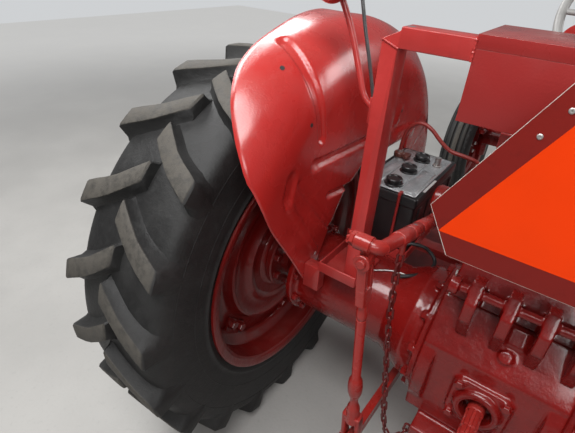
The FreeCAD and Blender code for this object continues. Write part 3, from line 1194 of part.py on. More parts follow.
def pedal(shaft_from, y, side):
    """A cross shaft from the gearbox, a rising arm and its foot plate, at y on one side."""
    x, z = CENTRE_FRONT + 0.7 * GEARBOX_LONG, PLATFORM_TOP + 90
    return [bar((x, shaft_from, z), (x, y + side * 8, z), 14), bar((x, y, z), (x + 200, y, z + 90), 11),
            block(x + 192, x + 204, y - 38, y + 38, z + 60, z + 130)]


def controls():
    """Pedals on both sides and the two gear levers."""
    clutch = fused(pedal(GEARBOX_HALF, 235, 1))
    brakes = fused(pedal(-GEARBOX_HALF, -195, -1) + pedal(-GEARBOX_HALF, -285, -1))
    levers = []
    low = LID_HIGH
    for share, y in ((0.62, 30), (0.79, -45)):
        x = CENTRE_FRONT + share * GEARBOX_LONG
        knob = (x - 60, y * 1.6, low + 295)
        levers.append(fused([bar((x, y, low), (x, y, low + 22), 14), bar((x, y, low + 15), knob, 8),
                             Part.makeSphere(20, V(*knob))]))
    return set_of([clutch, brakes] + levers)


# Cords

CABLE_MAIN = [(300, 466, 926), (300, 465, 965), (300, 452, 1005), (300, 420, 1026), (300, 385, 1014), (300, 352, 984),
              (300, 318, 962), (302, 275, 960), (306, 232, 952), (318, 208, 915), (330, 200, 862), (342, 192, 805),
              (352, 172, 760), (360, 140, 741)]
LAMP_CABLE = [(-66, 394, 1085), (-63, 404, 1120), (-56, 422, 1160), (-50, 440, 1210), (-46, 458, 1260),
              (-36, 478, 1302), (-22, 496, 1338), (-14, 508, 1364), (-20, 514, 1388), (-40, 516, 1400),
              (-65, 516, 1400)]

# Middle line of the chain from the arm's hook to the hitch
CHAIN = [(-200, 240, 912), (-200, 240, 858), (-200, 232, 750), (-200, 218, 640), (-200, 196, 500), (-200, 178, 392),
         (-200, 156, 348), (-200, 132, 376), (-200, HITCH_HALF + 8, 420), (-200, HITCH_HALF + 8, 450)]


def chain():
    return cord("chain", CHAIN, 16)


LAMP_X = -95.0
LAMP_STALK = [(LAMP_X, POST_OUTER + 5, 1158), (LAMP_X, 430, 1180), (LAMP_X, 452, 1240), (LAMP_X, 480, 1310),
              (LAMP_X, 515, 1370)]


def work_lamp():
    """A small lamp on a bent rod beside the left post."""
    rod = cord("lamp stalk", LAMP_STALK, 13)
    bowl = turned_x([(0, -45), (40, -45), (46, -30), (34, 10), (12, 30), (0, 30)], LAMP_X, 518, 1395)
    low = BOX_LOW - 55
    foot = block(LAMP_X - 15, LAMP_X + 15, POST_OUTER, POST_OUTER + 8, low, low + 55)
    return fused([rod, bowl, foot])


def build():
    left = {
        "rear_tyre": rear_tyre(), "rear_rim": rear_rim(), "front_tyre": front_tyre(), "front_rim": front_rim(),
        "knuckle": knuckle(), "fender": fender(), "frame_post": frame_post(), "lift_rod": lift_rod(),
        "lower_link": lower_link(),
    }
    nodes = {}
    for name, shape in left.items():
        nodes[name + "_left"] = shape
        nodes[name + "_right"] = mirrored(shape)
    nodes["tie_rod_left"] = tie_rod(UPPER_BALL_Z)
    nodes["tie_rod_right"] = mirrored(tie_rod(LOWER_BALL_Z))
    makers = (rear_axle_housing, lift_housing, gearbox, drawbar, engine_block, cylinder_head, manifold, exhaust,
              engine_fittings, fan, radiator, front_bolster, front_axle, bonnet, nose, grille, dash_panel,
              steering_column, steering_wheel, centre_arm, headlamps, tool_box, tool_box_lid, warning_plate,
              battery_tray, battery_case, battery_top, lift_arms, pto_shaft, seat_bracket, seat_pan, seat_cushion,
              controls, work_lamp)
    for maker in makers:
        nodes[maker.__name__] = maker()
    nodes["platforms"] = set_of([platform(), mirrored(platform())])
    nodes["chain"] = chain()
    nodes["battery_cable"] = cord("battery cable", CABLE_MAIN, 12)
    nodes["lamp_cable"] = cord("lamp cable", LAMP_CABLE, 8)
    return nodes


def export(nodes):
    box = FreeCAD.BoundBox()
    for name, shape in nodes.items():
        if not name.endswith("cable"):
            box.add(shape.BoundBox)
    shift = -(box.XMin + box.XMax) / 2
    print("moved along X by", round(shift, 3), "box", box)
    os.makedirs("parts", exist_ok=True)
    for name, shape in nodes.items():
        moved(shape, shift, 0, 0).exportStep("parts/" + name + ".step")


export(build())
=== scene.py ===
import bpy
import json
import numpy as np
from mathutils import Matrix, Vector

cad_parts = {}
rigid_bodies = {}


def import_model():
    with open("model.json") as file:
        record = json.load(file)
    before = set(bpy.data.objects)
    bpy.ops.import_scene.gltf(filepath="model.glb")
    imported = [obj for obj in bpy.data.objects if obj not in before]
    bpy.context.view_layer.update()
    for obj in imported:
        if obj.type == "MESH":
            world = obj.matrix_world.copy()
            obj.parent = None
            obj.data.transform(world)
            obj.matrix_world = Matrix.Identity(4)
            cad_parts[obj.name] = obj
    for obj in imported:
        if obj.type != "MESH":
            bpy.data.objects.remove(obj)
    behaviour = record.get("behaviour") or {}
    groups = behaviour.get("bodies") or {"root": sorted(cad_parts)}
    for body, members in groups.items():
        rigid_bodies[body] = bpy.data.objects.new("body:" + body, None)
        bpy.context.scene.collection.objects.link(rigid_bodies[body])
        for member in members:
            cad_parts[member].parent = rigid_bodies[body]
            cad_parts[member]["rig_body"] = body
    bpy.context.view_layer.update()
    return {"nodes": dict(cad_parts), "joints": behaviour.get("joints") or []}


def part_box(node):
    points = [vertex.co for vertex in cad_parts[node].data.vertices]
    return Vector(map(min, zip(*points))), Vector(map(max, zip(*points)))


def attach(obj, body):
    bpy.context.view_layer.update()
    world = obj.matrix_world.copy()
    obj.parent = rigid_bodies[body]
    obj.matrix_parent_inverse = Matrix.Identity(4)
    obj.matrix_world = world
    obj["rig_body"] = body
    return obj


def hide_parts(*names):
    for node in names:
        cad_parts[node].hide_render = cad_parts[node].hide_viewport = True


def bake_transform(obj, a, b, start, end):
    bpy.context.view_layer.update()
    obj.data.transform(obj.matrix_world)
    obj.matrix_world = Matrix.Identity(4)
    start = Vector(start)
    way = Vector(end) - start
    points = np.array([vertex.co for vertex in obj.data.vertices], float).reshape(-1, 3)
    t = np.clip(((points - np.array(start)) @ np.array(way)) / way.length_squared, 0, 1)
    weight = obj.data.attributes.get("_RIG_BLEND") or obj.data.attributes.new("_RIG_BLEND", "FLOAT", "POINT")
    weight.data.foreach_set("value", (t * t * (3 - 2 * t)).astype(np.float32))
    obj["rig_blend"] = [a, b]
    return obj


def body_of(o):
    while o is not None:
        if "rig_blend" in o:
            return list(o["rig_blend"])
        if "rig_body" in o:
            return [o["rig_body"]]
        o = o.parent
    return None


bl_info = {
    "name": "Farm tractor looks",
    "version": (1, 0, 0),
    "blender": (4, 5, 0),
    "location": "View3D > Sidebar > Tractor",
    "description": "Dresses the packed farm tractor: tyres, fenders, castings, linkage, battery and studio",
    "category": "Add Mesh",
}

import bpy
import bmesh
import json
import math
from mathutils import Matrix, Vector, noise

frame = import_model()
JOINTS = {joint["name"]: joint for joint in frame["joints"]}

# Places come from the frame, in metres.
# X is measured from the rear axle, Y to the left and Z up from the ground.
AXLE_X = JOINTS["rear_left_roll"]["pos_m"][0]
REAR_HUB_Y = JOINTS["rear_left_roll"]["pos_m"][1]
REAR_RADIUS = JOINTS["rear_left_roll"]["pos_m"][2]
FRONT_HUB = Vector(JOINTS["front_left_roll"]["pos_m"]) - Vector((AXLE_X, 0, 0))
SIDES = (("left", 1), ("right", -1))


# Small shape kit

def round_angles(count):
    """Even steps of angle once round a circle."""
    return [2 * math.pi * n / count for n in range(count)]


def spin_points(profile, steps, axis):
    """Rings of points for (radius, offset) pairs about X, Y or Z."""
    rings = []
    for radius, offset in profile:
        ring = []
        for a in round_angles(steps):
            c, s = radius * math.cos(a), radius * math.sin(a)
            ring.append({"X": (offset, c, s), "Y": (c, offset, s), "Z": (c, s, offset)}[axis])
        rings.append(ring)
    return rings


class Shape:
    """Collects simple solids and makes one mesh object of them."""

    def __init__(self):
        self.points = []
        self.faces = []

    def add(self, points, faces):
        base = len(self.points)
        self.points += [Vector(p) for p in points]
        self.faces += [[base + n for n in face] for face in faces]
        return self

    def rings(self, rings, closed=False, caps=True):
        """Skins rings of equal count. Closed joins the last ring to the first."""
        count = len(rings[0])
        points = [p for ring in rings for p in ring]
        faces = []
        for n in range(len(rings) if closed else len(rings) - 1):
            a, b = n * count, (n + 1) % len(rings) * count
            for k in range(count):
                j = (k + 1) % count
                faces.append([a + k, a + j, b + j, b + k])
        if caps and not closed:
            faces.append(list(range(count))[::-1])
            faces.append([(len(rings) - 1) * count + k for k in range(count)])
        return self.add(points, faces)

    def turned(self, profile, centre=(0, 0, 0), axis="Y", steps=48, closed=False):
        """A body turned about an axis through centre, from (radius, offset) pairs."""
        centre = Vector(centre)
        rings = [[Vector(p) + centre for p in ring] for ring in spin_points(profile, steps, axis)]
        return self.rings(rings, closed, not closed)

    def along(self, start, end, profile, sides=20):
        """A body turned about the line from start to end, from (radius, distance) pairs."""
        start, end = Vector(start), Vector(end)
        facing = (end - start).to_track_quat("Z", "Y").to_matrix()
        rings = []
        for radius, distance in profile:
            rings.append([start + facing @ Vector((radius * math.cos(a), radius * math.sin(a), distance))
                          for a in round_angles(sides)])
        return self.rings(rings)

    def rod(self, start, end, radius, sides=20, edge=0.0):
        length = (Vector(end) - Vector(start)).length
        edge = min(edge, radius / 2, length / 3)
        profile = [(radius, 0), (radius, length)]
        if edge:
            profile = [(radius - edge, 0), (radius, edge), (radius, length - edge), (radius - edge, length)]
        return self.along(start, end, profile, sides)

    def hexagon(self, start, direction, size, height):
        """A hexagon head or nut with a washer under it. Size is across the flats."""
        start, direction = Vector(start), Vector(direction).normalized()
        washer = 0.12 * size
        radius = size / math.sqrt(3)
        self.along(start, start + direction, [(0.62 * size, 0), (0.62 * size, washer)], 20)
        self.along(start, start + direction, [(radius, washer), (radius, height - 0.1 * size),
                                              (0.86 * radius, height)], 6)
        return self

    def block(self, low, high):
        x0, y0, z0 = low
        x1, y1, z1 = high
        corners = [(x0, y0, z0), (x1, y0, z0), (x1, y1, z0), (x0, y1, z0),
                   (x0, y0, z1), (x1, y0, z1), (x1, y1, z1), (x0, y1, z1)]
        faces = [(0, 3, 2, 1), (4, 5, 6, 7), (0, 1, 5, 4), (1, 2, 6, 5), (2, 3, 7, 6), (3, 0, 4, 7)]
        return self.add(corners, faces)

    def slab(self, outline, axis, low, high):
        """An outline of pairs in the plane across axis, from low to high along it."""
        def point(pair, depth):
            a, b = pair
            return {"X": (depth, a, b), "Y": (a, depth, b), "Z": (a, b, depth)}[axis]
        return self.rings([[point(p, low) for p in outline], [point(p, high) for p in outline]])

    def pipe(self, route, radius, sides=12, closed=False):
        """A round bar along points, with its section carried on without twist."""
        route = [Vector(p) for p in route]
        count = len(route)
        facing, rings = None, []
        for n, here in enumerate(route):
            before = route[(n - 1) % count] if closed or n else here
            after = route[(n + 1) % count] if closed or n < count - 1 else here
            ahead = (after - before).normalized()
            if facing is None:
                facing = ahead.orthogonal().normalized()
            facing = (facing - facing.dot(ahead) * ahead).normalized()
            other = ahead.cross(facing)
            rings.append([here + radius * (math.cos(a) * facing + math.sin(a) * other)
                          for a in round_angles(sides)])
        return self.rings(rings, closed)

    def mirrored(self, side):
        """The same points on the other side of the tractor when side is -1."""
        if side < 0:
            self.points = [Vector((p.x, -p.y, p.z)) for p in self.points]
            self.faces = [face[::-1] for face in self.faces]
        return self

    def moved(self, matrix):
        self.points = [matrix @ p for p in self.points]
        return self

    def node(self, name):
        """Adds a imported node's solid, measured from the rear axle."""
        mesh = frame["nodes"][name].data
        shift = Vector((AXLE_X, 0, 0))
        points = [v.co - shift for v in mesh.vertices]
        return self.add(points, [list(face.vertices) for face in mesh.polygons])

    def build(self, name, bevel=0.0, segments=2, weld=0.00002, flat=False):
        mesh = bpy.data.meshes.new(name)
        mesh.from_pydata([(p.x + AXLE_X, p.y, p.z) for p in self.points], [], self.faces)
        shell = bmesh.new()
        shell.from_mesh(mesh)
        if weld:
            bmesh.ops.remove_doubles(shell, verts=shell.verts, dist=weld)
        if flat:
            bmesh.ops.dissolve_limit(shell, angle_limit=math.radians(FLAT_ANGLE), verts=shell.verts,
                                     edges=shell.edges)
        bmesh.ops.recalc_face_normals(shell, faces=shell.faces)
        shell.to_mesh(mesh)
        shell.free()
        piece = bpy.data.objects.new(name, mesh)
        bpy.context.scene.collection.objects.link(piece)
        if bevel:
            soft = piece.modifiers.new("round edges", "BEVEL")
            soft.width, soft.segments, soft.limit_method = bevel, segments, "ANGLE"
            soft.angle_limit, soft.miter_outer = math.radians(EDGE_ANGLE), "MITER_ARC"
            apply_modifiers(piece)
        smooth(piece)
        return piece


# Faces within the first angle become one, and edges past the second are creases, in degrees
FLAT_ANGLE = 1.0
EDGE_ANGLE = 38.0
# Angles of the creases in castings and in the fenders' sheet
CAST_ANGLE = 60
SHEET_ANGLE = 50
# Share of the voxel faces that a casting keeps
CAST_KEEP = 0.5


def apply_modifiers(piece):
    """Bakes the modifiers into the mesh."""
    graph = bpy.context.evaluated_depsgraph_get()
    mesh = bpy.data.meshes.new_from_object(piece.evaluated_get(graph), depsgraph=graph)
    piece.modifiers.clear()
    piece.data = mesh


def smooth(piece, angle=EDGE_ANGLE):
    """Smooth faces, with creases where faces meet at more than the angle."""
    shell = bmesh.new()
    shell.from_mesh(piece.data)
    for face in shell.faces:
        face.smooth = True
    for edge in shell.edges:
        edge.smooth = len(edge.link_faces) == 2 and edge.calc_face_angle(0) < math.radians(angle)
    shell.to_mesh(piece.data)
    shell.free()


def cast(name, shape, grain, rounds):
    """Grows solids into one casting with filleted joins: voxels of the grain's size, then smoothing."""
    piece = shape.build(name)
    skin = piece.modifiers.new("one skin", "REMESH")
    skin.mode, skin.voxel_size = "VOXEL", grain
    ease = piece.modifiers.new("fillets", "SMOOTH")
    ease.factor, ease.iterations = 0.5, rounds
    thin = piece.modifiers.new("fewer faces", "DECIMATE")
    thin.ratio = CAST_KEEP
    apply_modifiers(piece)
    smooth(piece, CAST_ANGLE)
    return piece


def dress(piece, body, slot, material, *nodes):
    """Gives a piece its body, its material and the solids that it stands for. The slot is not used."""
    piece.data.materials.clear()
    piece.data.materials.append(material)
    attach(piece, body)
    if nodes:
        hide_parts(*nodes)
    return piece


# Shader kit

class Wire:
    """A shader socket that can stand in a sum, where each operator adds a Math node."""

    def __init__(self, finish, socket):
        self.finish = finish
        self.socket = socket

    def maths(self, operation, first, second=0.0, clamp=False):
        return self.finish.add("ShaderNodeMath", {"operation": operation, "use_clamp": clamp},
                               {0: first, 1: second})

    def __add__(self, other):
        return self.maths("ADD", self, other)

    __radd__ = __add__

    def __sub__(self, other):
        return self.maths("SUBTRACT", self, other)

    def __rsub__(self, other):
        return self.maths("SUBTRACT", other, self)

    def __mul__(self, other):
        return self.maths("MULTIPLY", self, other)

    __rmul__ = __mul__

    def root(self):
        return self.maths("SQRT", self)

    def held(self):
        """Kept between 0 and 1."""
        return self.maths("ADD", self, 0.0, clamp=True)

    def above(self, low, high):
        """Rises from 0 to 1 as the value goes from low to high."""
        return self.finish.add("ShaderNodeMapRange", {"interpolation_type": "SMOOTHSTEP"},
                               {"Value": self, "From Min": low, "From Max": high})


class Finish:
    """One material: its nodes, its Principled shader and the textures that it reads in object space."""

    def __init__(self, name, metal=0.0, coat=0.0, coat_rough=0.1, specular=0.5, sheen=0.0):
        self.material = bpy.data.materials.new(name)
        self.material.use_nodes = True
        self.tree = self.material.node_tree
        self.tree.nodes.clear()
        self.shader = self.tree.nodes.new("ShaderNodeBsdfPrincipled")
        self.out = self.tree.nodes.new("ShaderNodeOutputMaterial")
        self.tree.links.new(self.shader.outputs[0], self.out.inputs["Surface"])
        self.place = self.add("ShaderNodeTexCoord", {}, {}, "Object")
        self.set("Metallic", metal)
        self.set("Coat Weight", coat)
        self.set("Coat Roughness", coat_rough)
        self.set("Specular IOR Level", specular)
        self.set("Sheen Weight", sheen)

    def add(self, kind, settings, sockets, output=0):
        """Adds a node: its settings first, then the values or wires of its sockets."""
        node = self.tree.nodes.new(kind)
        for key, value in settings.items():
            if key == "stops":
                self.fill_ramp(node.color_ramp, value)
            else:
                setattr(node, key, value)
        for key, value in sockets.items():
            self.plug(node.inputs[key], value)
        return Wire(self, node.outputs[output])

    def fill_ramp(self, ramp, stops):
        while len(ramp.elements) < len(stops):
            ramp.elements.new(1.0)
        for element, (position, colour) in zip(ramp.elements, stops):
            element.position, element.color = position, (*colour, 1)

    def plug(self, socket, value):
        if isinstance(value, Wire):
            self.tree.links.new(value.socket, socket)
        else:
            socket.default_value = value

    def set(self, name, value):
        """A value or wire into one of the shader's sockets. A colour of three numbers gets its alpha."""
        if isinstance(value, (tuple, list)) and len(value) == 3 and "Color" in name:
            value = (*value, 1)
        self.plug(self.shader.inputs[name], value)

    def noise(self, scale, detail=3.0, rough=0.5, stretch=(1, 1, 1), offset=0.0):
        """Soft cloudy noise around 0.5. Scale is in clouds a metre, and stretch lengthens them."""
        place = self.add("ShaderNodeMapping", {}, {"Vector": self.place, "Scale": stretch,
                                                   "Location": (offset, offset, offset)})
        return self.add("ShaderNodeTexNoise", {}, {"Vector": place, "Scale": scale, "Detail": detail,
                                                   "Roughness": rough})

    def cells(self, scale, randomness=1.0):
        """Distance to the nearest of many scattered points."""
        return self.add("ShaderNodeTexVoronoi", {}, {"Vector": self.place, "Scale": scale,
                                                     "Randomness": randomness})

    def xyz(self):
        return [self.add("ShaderNodeSeparateXYZ", {}, {"Vector": self.place}, n) for n in range(3)]

    def upward(self):
        """1 where the surface faces up, 0 where it is upright."""
        facing = self.add("ShaderNodeNewGeometry", {}, {}, "Normal")
        return self.add("ShaderNodeSeparateXYZ", {}, {"Vector": facing}, 2).above(0.2, 0.95)

    def blend(self, share, first, second):
        """A colour between two colours."""
        pair = [(*c, 1) if isinstance(c, tuple) and len(c) == 3 else c for c in (first, second)]
        return self.add("ShaderNodeMix", {"data_type": "RGBA"}, {0: share, 6: pair[0], 7: pair[1]}, 2)

    def relief(self, height, depth, below=None):
        """A bump of the height wire, depth metres deep, laid over another bump if one is given."""
        sockets = {"Height": height, "Distance": depth, "Strength": 1.0}
        if below is not None:
            sockets["Normal"] = below
        return self.add("ShaderNodeBump", {}, sockets)

    def near(self, centre, reach, soft=0.4):
        """1 close to a point measured from the rear axle, 0 past the reach."""
        x, y, z = centre
        gap = self.add("ShaderNodeVectorMath", {"operation": "DISTANCE"},
                       {0: self.place, 1: (x + AXLE_X, y, z)}, "Value")
        return 1 - gap.above(reach * (1 - soft), reach)


def tinted(colour, factor):
    return tuple(min(1.0, c * factor) for c in colour)


def sheet_paint(name, colour, gloss=0.2, coat=0.6, dust=0.12):
    """Enamel on pressed sheet: a little orange peel, uneven tone, dust on top and fine dirt spots."""
    finish = Finish(name, coat=coat, coat_rough=0.2, specular=0.4)
    tone = finish.noise(2.3, 4).above(0.3, 0.75)
    base = finish.blend(tone, tinted(colour, 0.86), tinted(colour, 1.08))
    settled = finish.upward() * finish.noise(9, 5, 0.65).above(0.35, 0.8) * dust
    grimy = finish.noise(38, 6, 0.7).above(0.62, 0.8) * 0.25
    base = finish.blend(grimy, base, tinted(colour, 0.55))
    finish.set("Base Color", finish.blend(settled, base, DUST_COLOUR))
    finish.set("Roughness", (gloss + 0.16 * finish.noise(14, 4).above(0.4, 0.7) + 0.5 * settled).held())
    peel = finish.relief(finish.noise(260, 2), 0.00035)
    finish.set("Normal", finish.relief(finish.noise(7, 2), 0.0035, peel))
    return finish.material


def cast_paint(name, colour, gloss=0.2, dust=0.05):
    """Thick paint over rough castings: sand grain, uneven tone with darker soot spots and brighter worn
    patches, and dust on top.
    """
    finish = Finish(name, coat=0.6, coat_rough=0.07, specular=0.25)
    tone = finish.noise(5.5, 5, 0.6).above(0.3, 0.72)
    base = finish.blend(tone, tinted(colour, 0.72), tinted(colour, 1.12))
    soot = finish.noise(19, 6, 0.7).above(0.55, 0.75) * 0.45
    base = finish.blend(soot, base, tinted(colour, 0.42))
    settled = finish.upward() * finish.noise(16, 5, 0.6).above(0.3, 0.85) * dust
    finish.set("Base Color", finish.blend(settled, base, DUST_COLOUR))
    finish.set("Roughness", (gloss + 0.16 * finish.noise(24, 5, 0.6).above(0.35, 0.75)).held())
    grain = finish.relief(finish.noise(170, 4, 0.6), 0.0007)
    finish.set("Normal", finish.relief(finish.noise(28, 3), 0.0026, grain))
    return finish.material


def brushed_paint(name, colour, gloss, chips):
    """Paint brushed on tube and plate, with brush lines along Z and bare grey chips at named places."""
    finish = Finish(name, coat=0.4, coat_rough=0.14, specular=0.35)
    strokes = finish.noise(60, 3, 0.5, (1, 1, 0.05))
    tone = finish.noise(4.5, 4).above(0.3, 0.75)
    base = finish.blend(tone, tinted(colour, 0.84), tinted(colour, 1.1))
    base = finish.blend(strokes.above(0.5, 0.8) * 0.35, base, tinted(colour, 0.7))
    ragged = finish.noise(90, 4, 0.6)
    bare = None
    for centre, reach in chips:
        spot = (finish.near(centre, reach, 0.9) + 0.5 * ragged - 0.62).above(0.0, 0.06)
        bare = spot if bare is None else (bare + spot).held()
    base = finish.blend(bare, base, BARE_COLOUR)
    settled = finish.upward() * finish.noise(12, 5, 0.6).above(0.3, 0.85) * 0.12
    finish.set("Base Color", finish.blend(settled, base, DUST_COLOUR))
    finish.set("Roughness", (gloss + 0.22 * finish.noise(20, 4).above(0.35, 0.75)).held())
    lines = finish.relief(strokes, 0.0008)
    finish.set("Normal", finish.relief(finish.noise(45, 3), 0.0014, lines))
    return finish.material


def tyre_rubber(name, hub, top_radius):
    """Black rubber with grey dust, and brown worn tops on the lugs outside top_radius from the hub's axis."""
    finish = Finish(name, specular=0.35)
    x, _, z = finish.xyz()
    across, up = x - (hub.x + AXLE_X), z - hub.z
    radius = (across * across + up * up).root()
    cloud = finish.noise(7, 5, 0.62)
    fine = finish.noise(55, 5, 0.7)
    dusty = (cloud.above(0.35, 0.72) * 0.5 + fine.above(0.45, 0.8) * 0.35).held()
    base = finish.blend(dusty * 0.4, RUBBER_COLOUR, RUBBER_DUST)
    worn = radius.above(top_radius - 0.006, top_radius - 0.001) * (0.45 + 0.55 * fine.above(0.3, 0.6))
    finish.set("Base Color", finish.blend(worn.held(), base, WORN_RUBBER))
    finish.set("Roughness", (0.52 + 0.3 * dusty + 0.2 * worn).held())
    pores = finish.relief(finish.noise(230, 4, 0.65), 0.0006)
    finish.set("Normal", finish.relief(finish.noise(22, 4, 0.6), 0.003, pores))
    return finish.material


def plastic(name, colour, rough=0.4, relief=0.0003, grime=0.3):
    """Moulded plastic or rubber covering with a fine grain and some grime."""
    finish = Finish(name)
    dirt = finish.noise(26, 5, 0.65).above(0.45, 0.75) * grime
    finish.set("Base Color", finish.blend(dirt, colour, tinted(colour, 0.55)))
    finish.set("Roughness", (rough + 0.25 * dirt).held())
    finish.set("Normal", finish.relief(finish.noise(320, 3), relief))
    return finish.material


def bare_metal(name, colour, rough=0.35, rust=0.25):
    """Worn steel or zinc with fine scratches and brown stains."""
    finish = Finish(name, metal=0.85)
    stain = finish.noise(42, 6, 0.7).above(0.5, 0.72) * rust
    scratch = finish.noise(130, 3, 0.6, (1, 0.08, 1))
    finish.set("Base Color", finish.blend(stain, colour, RUST_COLOUR))
    finish.set("Metallic", (0.9 - 0.8 * stain).held())
    finish.set("Roughness", (rough + 0.2 * scratch + 0.3 * stain).held())
    finish.set("Normal", finish.relief(scratch, 0.0003))
    return finish.material


def milky_plastic(name, colour):
    """The battery's pale glossy lid, with cloudy stains."""
    finish = Finish(name, coat=0.5, coat_rough=0.08)
    stain = finish.noise(16, 5, 0.6).above(0.4, 0.75)
    smear = finish.noise(34, 4, 0.6, (0.3, 1, 1)).above(0.5, 0.75)
    base = finish.blend(stain * 0.7, colour, tinted(colour, 0.5))
    finish.set("Base Color", finish.blend(smear * 0.5, base, (0.62, 0.66, 0.7)))
    finish.set("Roughness", (0.16 + 0.3 * stain).held())
    finish.set("Normal", finish.relief(finish.noise(30, 3), 0.0012))
    return finish.material


def glow_sheet(name, colour):
    """Flat fluorescent sheet, clean and slightly clouded."""
    finish = Finish(name, coat=0.05, coat_rough=0.25, specular=0.15)
    cloud = finish.noise(3.0, 3).above(0.3, 0.8)
    finish.set("Base Color", finish.blend(cloud, colour, tinted(colour, 0.82)))
    finish.set("Roughness", 0.42 + 0.1 * finish.noise(40, 3))
    finish.set("Normal", finish.relief(finish.noise(500, 2), 0.0001))
    return finish.material


def border_sheet(name, colour):
    """The triangle's dusty dark red border, with a paler cloudy film and scuffs."""
    finish = Finish(name, coat=0.1, coat_rough=0.2, specular=0.2)
    scuff = finish.noise(36, 6, 0.72).above(0.52, 0.72) * 0.35
    film = finish.noise(6, 4, 0.6).above(0.3, 0.8) * 0.4
    base = finish.blend(film, colour, tinted(colour, 1.25))
    finish.set("Base Color", finish.blend(scuff, base, tinted(colour, 0.6)))
    finish.set("Roughness", (0.42 + 0.3 * scuff).held())
    finish.set("Normal", finish.relief(finish.noise(150, 3), 0.0004))
    return finish.material


def vinyl(name, colour):
    """Seat covering with a leather-like grain."""
    finish = Finish(name)
    grain = finish.cells(420)
    finish.set("Base Color", finish.blend(grain.above(0.1, 0.6), tinted(colour, 0.7), tinted(colour, 1.3)))
    finish.set("Roughness", 0.4 + 0.2 * finish.noise(20, 3))
    finish.set("Normal", finish.relief(grain, 0.0008))
    return finish.material


# Colours that several finishes share
DUST_COLOUR = (0.30, 0.20, 0.17)
BARE_COLOUR = (0.13, 0.14, 0.15)
RUST_COLOUR = (0.16, 0.06, 0.03)
RUBBER_COLOUR = (0.014, 0.0135, 0.0135)
RUBBER_DUST = (0.085, 0.085, 0.082)
WORN_RUBBER = (0.085, 0.077, 0.066)


# Tyres and wheels

def curve_through(points, steps):
    """Points of a smooth line through the given points."""
    points = [Vector(p) for p in points]
    line = []
    for n in range(len(points) - 1):
        a = points[max(n - 1, 0)]
        b, c = points[n], points[n + 1]
        d = points[min(n + 2, len(points) - 1)]
        for k in range(steps):
            t = k / steps
            line.append(0.5 * (2 * b + (c - a) * t + (2 * a - 5 * b + 4 * c - d) * t ** 2
                               + (3 * b - a - 3 * c + d) * t ** 3))
    return line + [points[-1]]


def both_sides(half):
    """A closed ring profile from its half with offsets of 0 and up."""
    half = [tuple(p) for p in half]
    return half + [(r, -o) for r, o in reversed(half) if o > 0.0001]


# Outside of the rear tyre from crown to bead, then its inside back to the crown: radius, offset
REAR_SKIN = [(0.5745, 0), (0.574, 0.045), (0.572, 0.085), (0.566, 0.118), (0.553, 0.137), (0.53, 0.1445),
             (0.5, 0.147), (0.465, 0.1455), (0.43, 0.1425), (0.409, 0.139)]
REAR_BEAD = [(0.404, 0.1405), (0.4, 0.1425), (0.396, 0.1415), (0.392, 0.1375), (0.386, 0.1345),
             (0.381, 0.133), (0.3575, 0.1265), (0.3575, 0.1), (0.372, 0.112), (0.42, 0.126), (0.49, 0.132),
             (0.54, 0.124), (0.556, 0.08), (0.56, 0)]

# A lug from its nose by the middle to the end of its buttress on the side.
# Columns in mm: top radius, top offset, foot radius, foot offset, leading and trailing edge along the tread
LUG_STATIONS = [
    (598.5, -12.5, 573, -16, -75, -30), (602.5, -8, 573, -9, -77, -27), (602.5, 25, 573, 25, -50, 0),
    (602.5, 62, 572, 62, -20, 28), (602.5, 92, 570, 92, -3, 46), (602.0, 118, 564, 120, 9, 59),
    (600.5, 142, 557, 133, 20, 72), (595, 147.5, 549, 139, 23, 75), (575, 148.3, 537, 143, 27, 76),
    (552, 148.5, 524, 145, 33, 72), (527, 148.5, 511, 146, 41, 66), (503, 147.5, 500, 146.5, 49, 60)]
LUG_COUNT = 19
FIRST_LUG = 103.5
# Spread of a lug's foot along the tread, the share of its height where that ends, and its soft top edge
LUG_FOOT = 0.018
LUG_FILLET = 0.3
LUG_EDGE = 0.004
LUG_WEAR = 0.0011
TYRE_STEPS = 180
# Thin raised lines round the rear tyre's side: radius, offset, thickness
SIDE_LINES = [(0.515, 0.1462, 0.0011), (0.445, 0.1439, 0.0009)]


def tread_point(radius, offset, along, angle):
    a = math.radians(angle) + along / REAR_RADIUS
    return Vector((radius * math.cos(a), offset, radius * math.sin(a)))


def add_lug(shape, angle, side):
    """One worn lug: a bar with sloping flanks, soft top edges and a tapering buttress."""
    rings = []
    for n, row in enumerate(LUG_STATIONS):
        top_r, top_y, foot_r, foot_y, lead, trail = [v / 1000 for v in row]
        wear = LUG_WEAR * noise.noise(Vector((angle * 3.1, n * 0.9, side * 7.0)))
        low_r = top_r - LUG_EDGE * (0.5 if n < 7 else 0.15)
        low_y = top_y - (LUG_EDGE * 0.5 if n >= 6 else 0)
        mid_r, mid_y = foot_r + LUG_FILLET * (low_r - foot_r), foot_y + LUG_FILLET * (low_y - foot_y)
        ring = [(foot_r, foot_y, lead - LUG_FOOT), (mid_r, mid_y, lead - LUG_FOOT * 0.4),
                (low_r, low_y, lead - 0.001), (top_r + wear, top_y, lead + LUG_EDGE),
                (top_r + wear, top_y, (lead + trail) / 2), (top_r + wear, top_y, trail - LUG_EDGE),
                (low_r, low_y, trail + 0.001), (mid_r, mid_y, trail + LUG_FOOT * 0.4),
                (foot_r, foot_y, trail + LUG_FOOT)]
        rings.append([tread_point(min(r, REAR_RADIUS), side * y, s, angle) for r, y, s in ring])
    shape.rings(rings)


